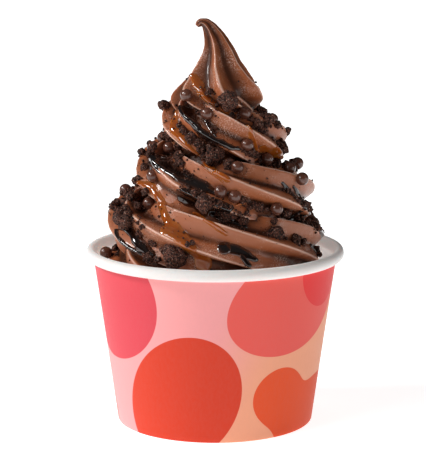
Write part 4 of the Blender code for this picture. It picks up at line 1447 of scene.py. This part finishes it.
@dataclass
class Sauces:
    """Caramel and chocolate sauce, each a piece of several runs."""

    caramel: tuple[Run, ...] = (
        Run(((-148, 152, 0.9), (-133, 149, 1.8), (-121, 146, 2.3), (-111, 142.5, 2.0), (-100, 140, 1.6),
             (-88, 138, 1.2), (-77, 135.5, 1.0), (-68, 133, 0.6)), 0.9, 1),
        Run(((-58, 126.5, 0.6), (-57, 122, 0.8), (-52, 118.5, 0.8), (-45, 115.5, 0.7), (-38, 113.5, 0.5)),
            0.6, 2),
        Run(((-42, 116, 0.6), (-32, 113.5, 0.9), (-22, 111, 1.0), (-11, 108, 0.9), (-3, 104.5, 0.6)), 0.6, 3),
        Run(((-156, 133.5, 1.0), (-146, 128, 1.6), (-138, 124, 2.0), (-128, 121, 2.0), (-119, 117.5, 1.8),
             (-111, 114.5, 1.6), (-103, 112, 1.4), (-94, 108, 1.5), (-86, 103, 2.0), (-80, 99.5, 1.4)),
            0.9, 4),
        Run(((-101, 108, 0.5), (-94, 104.5, 0.6), (-89, 102, 0.6), (-84, 99.5, 0.6)), 0.5, 5),
        Run(((-184, 92, 1.0), (-165, 95, 1.5), (-147, 96, 1.9), (-139, 94, 2.1), (-133, 90.5, 2.2),
             (-128, 87, 2.3), (-122, 82.5, 2.8), (-116, 78, 3.7), (-111, 75, 4.1), (-106, 72, 3.1),
             (-103, 69.5, 2.6), (-100, 67, 2.9), (-97, 64, 3.3), (-94, 60.5, 3.5)), 1.1, 6),
        Run(((-107, 87, 0.6), (-102, 85.5, 1.1), (-94, 81.5, 1.2), (-88, 78, 1.0), (-83, 75, 0.6)), 0.6, 7),
        Run(((-77, 89, 0.5), (-73, 90, 0.8), (-69, 90, 0.6)), 0.5, 8),
        Run(((70, 124, 1.4), (84, 118, 2.0), (96, 112, 2.2), (106, 104, 1.8), (110, 97, 1.4)), 0.9, 9),
        Run(((148, 110, 1.4), (158, 100, 2.2), (168, 92, 1.8)), 0.9, 10),
        Run(((24, 90, 1.6), (32, 82, 2.4), (36, 74, 2.2), (44, 68, 2.6)), 1.0, 19),
    )
    chocolate: tuple[Run, ...] = (
        Run(((-141, 136, 1.4), (-125, 132, 2.4), (-112, 127.5, 2.6), (-104, 123.5, 2.6), (-97, 121, 2.4),
             (-91, 119.5, 2.1), (-84, 118.5, 1.9), (-76, 116.5, 1.6), (-66, 115.5, 0.9)), 0.8, 11),
        Run(((-103, 130.5, 0.8), (-98, 128, 1.0), (-93, 125, 1.0), (-89, 121, 0.8)), 0.6, 12),
        Run(((-168, 108, 1.8), (-157, 108.5, 2.7), (-146, 108.5, 3.4), (-136, 106.5, 3.7), (-125, 104.5, 3.7),
             (-114, 102, 3.4), (-104, 99.5, 2.9), (-95, 97, 2.3), (-86, 94, 1.3)), 1.2, 13),
        Run(((-149, 108, 1.5), (-154, 104.5, 1.5), (-150, 101, 1.9)), 1.0, 14),
        Run(((-120, 94.5, 2.0), (-112, 93, 3.3), (-106, 91.5, 3.1), (-99, 89, 2.4), (-91, 86.5, 2.0),
             (-84, 84, 1.6), (-76, 81.5, 1.4), (-69, 79, 0.8)), 1.0, 15),
        Run(((-94, 92, 1.8), (-87, 89, 2.8), (-81, 86, 2.8), (-77, 82.5, 2.0)), 0.9, 16),
        Run(((-157, 72.5, 0.9), (-153, 70, 1.1), (-148, 68, 1.2), (-143, 66.5, 1.2), (-138, 65.5, 1.2),
             (-132, 64.5, 1.2), (-128, 64, 1.3)), 0.9, 17),
        Run(((-156, 74, 1.3), (-147, 73.5, 1.8), (-140, 71, 2.2), (-136, 69, 2.6), (-131, 67, 2.9),
             (-128, 65.5, 2.8), (-124, 65, 1.8)), 1.5, 18),
        Run(((-88, 72, 1.5), (-86, 70.5, 3.0), (-84, 69, 3.4), (-82, 67.5, 2.6)), 1.1, 20),
        Run(((-86, 71, 1.8), (-82, 69.5, 2.9), (-78, 68.5, 3.0), (-74, 67, 2.7), (-70, 65, 2.0),
             (-66, 63.5, 1.0)), 0.8, 28),
        Run(((-76, 67, 1.2), (-75, 65, 1.5), (-73, 62, 1.9), (-71, 60, 1.4)), 0.8, 21),
        Run(((-113, 95.5, 1.3), (-109, 94.5, 2.4), (-105, 93.5, 2.8), (-101, 92, 2.6), (-96, 90, 2.0),
             (-92, 88.5, 1.1)), 0.9, 29),
        Run(((-39, 97.5, 0.9), (-33, 93, 1.5), (-30, 89, 2.0), (-27, 84.5, 2.2), (-20, 79, 2.2),
             (-16, 74, 2.0), (-10, 70, 1.7), (2, 65, 1.2)), 0.6, 22),
        Run(((-29, 94.5, 0.8), (-22, 90, 1.2), (-19, 85.5, 1.3), (-14, 81, 1.3), (-6, 77.5, 0.9)), 0.5, 23),
        Run(((-19, 66, 1.0), (-16, 63, 2.0), (-10, 60, 1.8)), 0.8, 24),
        Run(((30, 112, 1.6), (44, 106, 2.3), (58, 100, 2.2), (68, 92, 1.6)), 0.9, 25),
        Run(((92, 92, 1.8), (106, 88, 2.8), (122, 82, 2.4), (134, 74, 1.8)), 1.0, 26),
        Run(((60, 74, 1.6), (74, 70, 2.4), (86, 64, 2.4)), 0.9, 27),
    )

    def pieces(self, surface: Landing) -> list[bpy.types.Object]:
        """The two sauces, both standing for part of what is fused to the ice cream."""
        made = []
        for name, runs, finish in (
            ("chocolate_sauce", self.chocolate, CHOCOLATE), ("caramel_sauce", self.caramel, CARAMEL)
        ):
            skin = Skin.joined(run.skin(surface) for run in runs)
            made.append(dressed(skin.made(name), finish, "ice_cream"))
        return made


# ---- Pearls, cookie pieces and dust ----------------------------------------------------------------
def ball(subdivisions: int) -> Skin:
    """An even ball of triangles at radius 1."""
    shape = bmesh.new()
    bmesh.ops.create_icosphere(shape, subdivisions=subdivisions, radius=1)
    mesh = bpy.data.meshes.new("ball")
    shape.to_mesh(mesh)
    shape.free()
    skin = Skin.of(mesh)
    skin.points = unit(skin.points)
    bpy.data.meshes.remove(mesh)
    return skin


def copies(shape: Skin, places: Array) -> Skin:
    """The faces of one shape repeated over (copies, points, 3) places."""
    starts = np.arange(len(places))[:, None, None] * len(shape.points)
    return Skin(places.reshape(-1, 3), triangles=(shape.triangles + starts).reshape(-1, 3))


@dataclass
class Pearls:
    """Crisp pearls with a chocolate coating, each a ball with the faintest dents."""

    sunk: float = 0.3
    dent: float = 0.012
    spread: float = 0.05

    def piece(self, scatter: Scatter, surface: Landing) -> bpy.types.Object:
        """All pearls as one piece: unit ball times radius, 1 less a little noise, about each place."""
        rise = scatter.pearl * MM * (0.5 - self.sunk)
        seated = [settled(topping, surface, rise) for topping in scatter.pearls]
        azimuth, radius, height = scatter.wedged_pearl
        turn = math.radians(azimuth)
        wedged = np.array([radius * math.cos(turn), radius * math.sin(turn), height]) * MM
        centres = np.array([*seated, wedged])
        shape = ball(4)
        sizes = 1 - self.spread * np.abs(soft_noise(centres, 3 * MM, 31))[:, None]
        directions = np.broadcast_to(shape.points, (len(centres), *shape.points.shape))
        shifted = directions + 10 * np.arange(len(centres))[:, None, None]
        radii = scatter.pearl * MM / 2 * sizes * (1 - self.dent * (1 + soft_noise(shifted, 0.9, 32)))
        places = centres[:, None] + radii[..., None] * directions
        return dressed(copies(shape, places).made("chocolate_pearls"), PEARL_COAT, "ice_cream")


def settled(topping: Topping, surface: Landing, rise: float, most: float = 2.5 * MM) -> Array:
    """A topping's centre, as far out from the fine surface as the solid's is from the plain one.

    Args:
        topping: where it landed on the plain surface.
        surface: the fine surface.
        rise: distance of the centre from the surface, in metres.
        most: how far the two landings may lie apart before the plain one is kept.

    Returns:
        The centre.
    """
    point, _, _ = surface.land(topping.azimuth, topping.aim)
    point = Vector(point)
    if not (point - topping.point).length < most:
        point = topping.point
    return np.array(point + topping.normal * rise)


DRIFT_RADIUS = 36.0


@dataclass(frozen=True)
class Drift:
    """Crumbs gathered along a ledge or a groove.

    path has rows of azimuth in degrees and aim height in mm; half_width is in mm, and share is how
    thick it lies against the others. Degrees count as an arc at DRIFT_RADIUS, in mm.
    """

    path: tuple[tuple[float, float], ...]
    half_width: float = 2.0
    share: float = 1.0

    def strewn(self, per_area: float, rng: np.random.Generator) -> Array:
        """Places in the drift, thick in its middle.

        Args:
            per_area: how many lie on each square mm of the band that is half_width wide to each side.
            rng: draws them.

        Returns:
            (n, 2) azimuth and aim height.
        """
        rows = np.array(self.path)
        flat = rows * [math.radians(1) * DRIFT_RADIUS, 1]
        length = np.concatenate([[0], np.linalg.norm(np.diff(flat, axis=0), axis=1).cumsum()])
        count = round(self.share * per_area * 2 * self.half_width * (length[-1] + self.half_width))
        at = rng.uniform(-0.5 * self.half_width, length[-1] + 0.5 * self.half_width, count)
        middle = np.stack([np.interp(at, length, flat[:, axis]) for axis in range(2)], -1)
        middle += rng.normal(0, self.half_width * 0.6, (count, 2))
        return middle / [math.radians(1) * DRIFT_RADIUS, 1]


DRIFTS = (
    Drift(((-186, 121), (-179, 120), (-162, 120)), 2.0),
    Drift(((-200, 111.5), (-190, 111), (-175, 112), (-161, 112.5), (-152, 111)), 3.2),
    Drift(((-130, 111), (-122, 109), (-114, 105), (-107, 103)), 1.6),
    Drift(((-136, 127), (-132, 125.5), (-119, 122.5), (-110, 120), (-103, 117.5)), 2.4),
    Drift(((-102, 116.5), (-93, 115), (-81, 112.5), (-74, 109)), 2.6),
    Drift(((-68, 116.5), (-57, 114), (-40, 112), (-28, 108.5), (-18, 104.5), (-8, 101)), 2.0),
    Drift(((-45, 134.5), (-35, 131), (-29, 128), (-25, 125), (-16, 120.5), (0, 116)), 2.8, 0.5),
    Drift(((-78, 139), (-66, 136.5), (-54, 133.5), (-46, 130), (-41, 126.5)), 1.8),
    Drift(((-118, 134.5), (-108, 133), (-100, 131), (-96, 127), (-91, 123.5)), 1.5),
    Drift(((-205, 84), (-192, 84), (-182, 87), (-172, 90.5), (-160, 91)), 3.0),
    Drift(((-192, 79), (-180, 79), (-165, 80.5), (-151, 80), (-142, 78), (-133, 77)), 2.8),
    Drift(((-112, 95), (-102, 93.5), (-96, 90.5), (-88, 87)), 2.6),
    Drift(((-90, 90), (-84, 88), (-79, 85)), 3.0),
    Drift(((-78, 93.5), (-69, 90.5), (-60, 88), (-50, 86.5), (-39, 84.5), (-26, 82.5), (-12, 80)), 2.2),
    Drift(((-72, 85.5), (-70, 81)), 1.6),
    Drift(((-50, 80), (-49, 75.5), (-48, 72.5)), 1.5),
    Drift(((-38, 73), (-35, 69.5), (-31, 67)), 1.8),
    Drift(((-126, 70), (-118, 68), (-111, 67), (-104, 68.5)), 2.6),
    Drift(((-38, 94), (-34, 90), (-28, 85), (-18, 79), (-8, 75)), 2.2, 0.35),
    Drift(((-22, 73.5), (-12, 70.5)), 1.5),
    Drift(((-130, 64.5), (-121, 62.5), (-114, 61)), 1.6),
    Drift(((-190, 60), (-178, 57.5)), 1.8),
    Drift(((-188, 107.5), (-181, 106.5)), 1.2),
    Drift(((-212, 93), (-205, 96), (-196, 96.5)), 1.8),
    Drift(((150, 116), (130, 117.5), (108, 119.5), (84, 122)), 2.2),
    Drift(((60, 123.5), (40, 125), (20, 121), (6, 116)), 2.4),
    Drift(((150, 90), (128, 91), (100, 93.5), (72, 96)), 2.6),
    Drift(((60, 97.5), (40, 100), (20, 102), (4, 101)), 2.2),
    Drift(((140, 69.5), (118, 71), (96, 73)), 2.4),
    Drift(((70, 76), (50, 78), (28, 79)), 2.2),
    Drift(((112, 84), (106, 78), (98, 74)), 1.8),
    Drift(((44, 88), (36, 82), (30, 76)), 1.8),
)


@dataclass
class Cookie:
    """Broken dark cookie: large pieces, crumbs, bits that gather in drifts, grit and dust.

    What is strewn stays on places that face up more than overhang, by a chance of shed's first plus
    its second times how far they face up. It also stays off the rim: within cup_inside of the axis,
    or above over_rim, in mm.
    """

    chunk_sunk: float = 0.25
    crumb_sunk: float = 0.3
    blockiness: float = 0.5
    bits_per_area: float = 0.21
    grit_per_area: float = 0.75
    loose_bits: int = 90
    loose_grit: int = 900
    specks: int = 6000
    seed: int = 5
    overhang: float = -0.35
    shed: tuple[float, float] = (0.6, 0.9)
    cup_inside: float = 51.0
    over_rim: float = 82.0

    def lumps(self, shape: Skin, centres: Array, lengths: Array, sides: Array, turns: Array,
              granules: int, seed: int) -> Skin:
        """Rough lumps: balls pushed towards blocks, ragged with noise, and set with round granules.

        A granule stands out by the height of a half ball about its middle, and the middles lie at
        random over the lump.

        Args:
            shape: unit ball that gives the points and faces.
            centres: (n, 3) places in metres.
            lengths: (n,) sizes in metres.
            sides: (n, 3) share of the length along each of a lump's own axes.
            turns: (n, 3, 3) how each is turned.
            granules: how many granules each lump has, or 0.
            seed: picks the noise.

        Returns:
            One skin that holds them all.
        """
        way = shape.points
        blocky = way / np.abs(way).max(-1, keepdims=True) ** self.blockiness
        shifted = way + 7.0 * np.arange(1, len(centres) + 1)[:, None, None]
        broken = np.abs(soft_noise(shifted, 0.8, seed))
        ragged = 0.9 + 0.32 * broken + 0.1 * soft_noise(shifted, 0.34, seed + 1)
        if granules:
            rng = np.random.default_rng(seed)
            middles = unit(rng.normal(size=(len(centres), granules, 3)))
            reach = rng.uniform(0.8, 1.35, (len(centres), 1, granules)) * 2 / math.sqrt(granules)
            angle = np.arccos(np.clip(np.einsum("pk,ngk->npg", way, middles), -1, 1))
            raised = (reach * np.sqrt(np.clip(1 - (angle / reach) ** 2, 0, 1))).max(-1)
            ragged += 0.55 * (raised - raised.mean(-1, keepdims=True))
            ragged += 0.04 * soft_noise(shifted, 0.12, seed + 2)
        else:
            ragged += 0.12 * soft_noise(shifted, 0.5, seed + 2)
        local = blocky * sides[:, None] * (lengths[:, None] / 2.2 * ragged)[..., None]
        places = centres[:, None] + np.einsum("nij,nkj->nki", turns, local)
        return copies(shape, places)

    def rounded(self, toppings: Sequence[Topping], surface: Landing, sunk: float, subdivisions: int,
                granules: int, seed: int) -> Skin:
        """The skin of lumps that stand where the solids have them."""
        centres = [settled(item, surface, item.length / 2 * (0.85 - 2 * sunk)) for item in toppings]
        return self.lumps(
            ball(subdivisions),
            np.array(centres),
            np.array([item.length for item in toppings]),
            np.array([item.sides for item in toppings]),
            np.array([item.turn for item in toppings]),
            granules,
            seed,
        )

    def chunks(self, scatter: Scatter, surface: Landing) -> list[bpy.types.Object]:
        """The large pieces, each standing for its own node."""
        made = []
        for i, topping in enumerate(scatter.chunks, 1):
            skin = self.rounded([topping], surface, self.chunk_sunk, 5, 70, 40 + 3 * i)
            piece = skin.made(f"cookie_piece_{i:02d}", 55)
            made.append(dressed(piece, DARK_COOKIE, f"cookie_chunk_{i:02d}"))
        return made

    def crumbs(self, scatter: Scatter, surface: Landing) -> bpy.types.Object:
        """The crumbs that the solids have fused to the ice cream."""
        skin = self.rounded(scatter.crumbs, surface, self.crumb_sunk, 4, 26, 90)
        return dressed(skin.made("cookie_crumbs", 55), DARK_COOKIE, "ice_cream")

    def strewn(self, places: Array, lengths: Array, surface: Landing, rng: np.random.Generator,
               subdivisions: int, granules: int, name: str) -> bpy.types.Object:
        """Small lumps where they land, as one piece.

        Args:
            places: (n, 2) azimuth in degrees and aim height in mm.
            lengths: (n,) metres.
            surface: what they land on.
            rng: draws their sides and turns.
            subdivisions: fineness of each.
            granules: how many granules each has.
            name: the piece's name.

        Returns:
            The dressed piece.
        """
        points, normals, _ = surface.land(*places.T)
        kept = np.isfinite(points[:, 0])
        # Steep places shed most of what falls on them.
        level, gain = self.shed
        kept &= (normals[:, 2] > self.overhang) & (rng.random(len(points)) < level + gain * normals[:, 2])
        from_axis = np.hypot(points[:, 0], points[:, 1])
        kept &= (from_axis < self.cup_inside * MM) | (points[:, 2] > self.over_rim * MM)
        points, normals, lengths = points[kept], normals[kept], lengths[kept]
        axes = unit(rng.normal(size=(len(points), 3)))
        other = unit(np.cross(axes, rng.normal(size=axes.shape)))
        turns = np.stack([axes, other, np.cross(axes, other)], -1)
        sides = rng.uniform(0.65, 1.0, (len(points), 3))
        centres = points + normals * (lengths * rng.uniform(0.15, 0.4, len(points)))[:, None]
        skin = self.lumps(ball(subdivisions), centres, lengths, sides, turns, granules, 140 + granules)
        return dressed(skin.made(name, 40), DARK_COOKIE, "ice_cream")

    def loose(self, count: int, rng: np.random.Generator) -> Array:
        """Places all over, denser in soft patches."""
        places = np.stack([rng.uniform(-180, 180, count), rng.uniform(52, 150, count)], -1)
        flat = np.stack([places[:, 0] / 14, places[:, 1] / 7, 0 * places[:, 1]], -1)
        patches = soft_noise(flat, 1.0, 21)
        return places[rng.random(count) < 0.45 + 0.8 * patches]

    def bits(self, surface: Landing) -> bpy.types.Object:
        """Crumbs of 1.3 to 3.4 mm, nearly all in drifts."""
        rng = np.random.default_rng(self.seed)
        drifted = [drift.strewn(self.bits_per_area, rng) for drift in DRIFTS]
        places = np.concatenate([*drifted, self.loose(self.loose_bits, rng)])
        lengths = (1.3 + 2.1 * rng.random(len(places)) ** 1.5) * MM
        return self.strewn(places, lengths, surface, rng, 3, 12, "cookie_bits")

    def grit(self, surface: Landing) -> bpy.types.Object:
        """Grit of 0.5 to 1.4 mm in the drifts and all over."""
        rng = np.random.default_rng(self.seed + 1)
        drifted = [drift.strewn(self.grit_per_area, rng) for drift in DRIFTS]
        places = np.concatenate([*drifted, self.loose(self.loose_grit, rng)])
        lengths = (0.5 + 0.9 * rng.random(len(places)) ** 1.6) * MM
        return self.strewn(places, lengths, surface, rng, 2, 0, "cookie_grit")

    def dust(self, surface: Landing) -> bpy.types.Object:
        """Specks of 0.2 to 0.6 mm all over."""
        rng = np.random.default_rng(self.seed + 2)
        places = self.loose(self.specks, rng)
        lengths = (0.2 + 0.4 * rng.random(len(places)) ** 2) * MM
        return self.strewn(places, lengths, surface, rng, 1, 0, "cookie_dust")


# ---- Studio ----------------------------------------------------------------------------------------
@dataclass
class Studio:
    """Pale floor, soft light from the left, a weaker one from the right, and the camera.

    Sizes are in metres, angles in degrees, and the camera's shift in pixels of its picture. Rows of
    lights are a name, the direction it comes from, its strength and its width in the sky.
    """

    picture: tuple[int, int] = (426, 467)
    camera_distance: float = 0.844
    camera_height: float = 0.2419
    camera_pitch: float = 10.6
    focal_pixels: float = 1925.0
    shift_pixels: float = 2.0
    sensor: float = 36.0
    floor_half: float = 12.0
    ambient: float = 0.03
    floor_dark: Colour = (0.64, 0.64, 0.635)
    floor_light: Colour = (0.67, 0.67, 0.665)
    floor_glow: float = 0.9
    lights: tuple[tuple[str, Colour, float, float], ...] = (
        ("key", (-0.8, -0.05, 0.6), 2.1, 14.0),
        ("front_softbox", (-0.62, -0.57, 0.53), 0.75, 20.0),
        ("right_fill", (0.93, -0.3, 0.06), 0.45, 24.0),
        ("overhead", (0.0, -0.1, 1.0), 0.12, 100.0),
    )

    def floor(self) -> bpy.types.Object:
        """A wide pale sheet that the cup stands on."""
        corners = np.array([[[-1, -1, 0], [-1, 1, 0]], [[1, -1, 0], [1, 1, 0]]], float) * self.floor_half
        skin = woven(corners[:, ::-1], wrap_columns=False)
        skin.boxed = False
        floor = skin.made("floor")
        graph = Graph("pale_floor")
        shade = graph.between(graph.noise(0.3, 2), 0.3, 0.7)
        graph.set(
            Base_Color=graph.mix(shade, self.floor_dark, self.floor_light),
            Roughness=0.7,
            Specular_IOR_Level=0.2,
            Emission_Color=(1.0, 1.0, 1.0),
            Emission_Strength=self.floor_glow,
        )
        floor.data.materials.append(graph.material)
        floor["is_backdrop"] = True
        return floor

    def light(self) -> None:
        """Distant soft lights, so that the floor is even, and a faint plain surround."""
        scene = bpy.context.scene
        scene.view_settings.view_transform = "Standard"
        scene.world = bpy.data.worlds.new("surround")
        scene.world.use_nodes = True
        background = scene.world.node_tree.nodes["Background"]
        background.inputs["Color"].default_value = (1, 1, 1, 1)
        background.inputs["Strength"].default_value = self.ambient
        for name, source, energy, width in self.lights:
            light = bpy.data.lights.new(name, "SUN")
            light.energy = energy
            light.angle = math.radians(width)
            lamp = bpy.data.objects.new(name, light)
            lamp.rotation_euler = Vector(source).to_track_quat("Z", "Y").to_euler()
            scene.collection.objects.link(lamp)

    def camera(self) -> None:
        """The camera at the photo's angle. Its lens is the focal length in pixels over the long side."""
        width, height = self.picture
        lens = bpy.data.cameras.new("camera")
        lens.sensor_width = self.sensor
        lens.lens = self.focal_pixels * self.sensor / max(width, height)
        lens.shift_x = -self.shift_pixels / max(width, height)
        camera = bpy.data.objects.new("camera", lens)
        camera.location = (0, -self.camera_distance, self.camera_height)
        camera.rotation_euler = (math.radians(90 - self.camera_pitch), 0, 0)
        bpy.context.scene.collection.objects.link(camera)
        bpy.context.scene.camera = camera


def write_sizes() -> None:
    """Works out the box of the solids and the box of what is shown, as plain lists, but doesn't write them
    anywhere.
    """
    boxes = {
        name: [[float(value) for value in corner] for corner in box]
        for name, box in (("cad", CAD_BOX), ("visual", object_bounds()))
    }


def main() -> None:
    """Builds the studio, then the cup, the ice cream and its toppings, in order."""
    logging.basicConfig(level=logging.INFO, format="%(message)s")
    studio = Studio()
    studio.floor()
    studio.light()
    studio.camera()

    cup = PaperCup()
    cup.wall()
    cup.disc()

    swirl = Swirl()
    scatter = Scatter()
    scatter.settle(Landing(swirl.skins(SKETCH), like_solids=True))
    ice_cream = swirl.piece()
    surface = Landing.of([ice_cream])
    sauces = Sauces().pieces(Landing.of([ice_cream], SIDE_SLOPE))
    Pearls().piece(scatter, surface)
    cookie = Cookie()
    cookie.chunks(scatter, surface)
    cookie.crumbs(scatter, surface)
    coated = Landing.of([ice_cream, *sauces], SIDE_SLOPE)
    cookie.bits(coated)
    cookie.grit(coated)
    cookie.dust(coated)
    write_sizes()


if __name__ == "__main__":
    main()
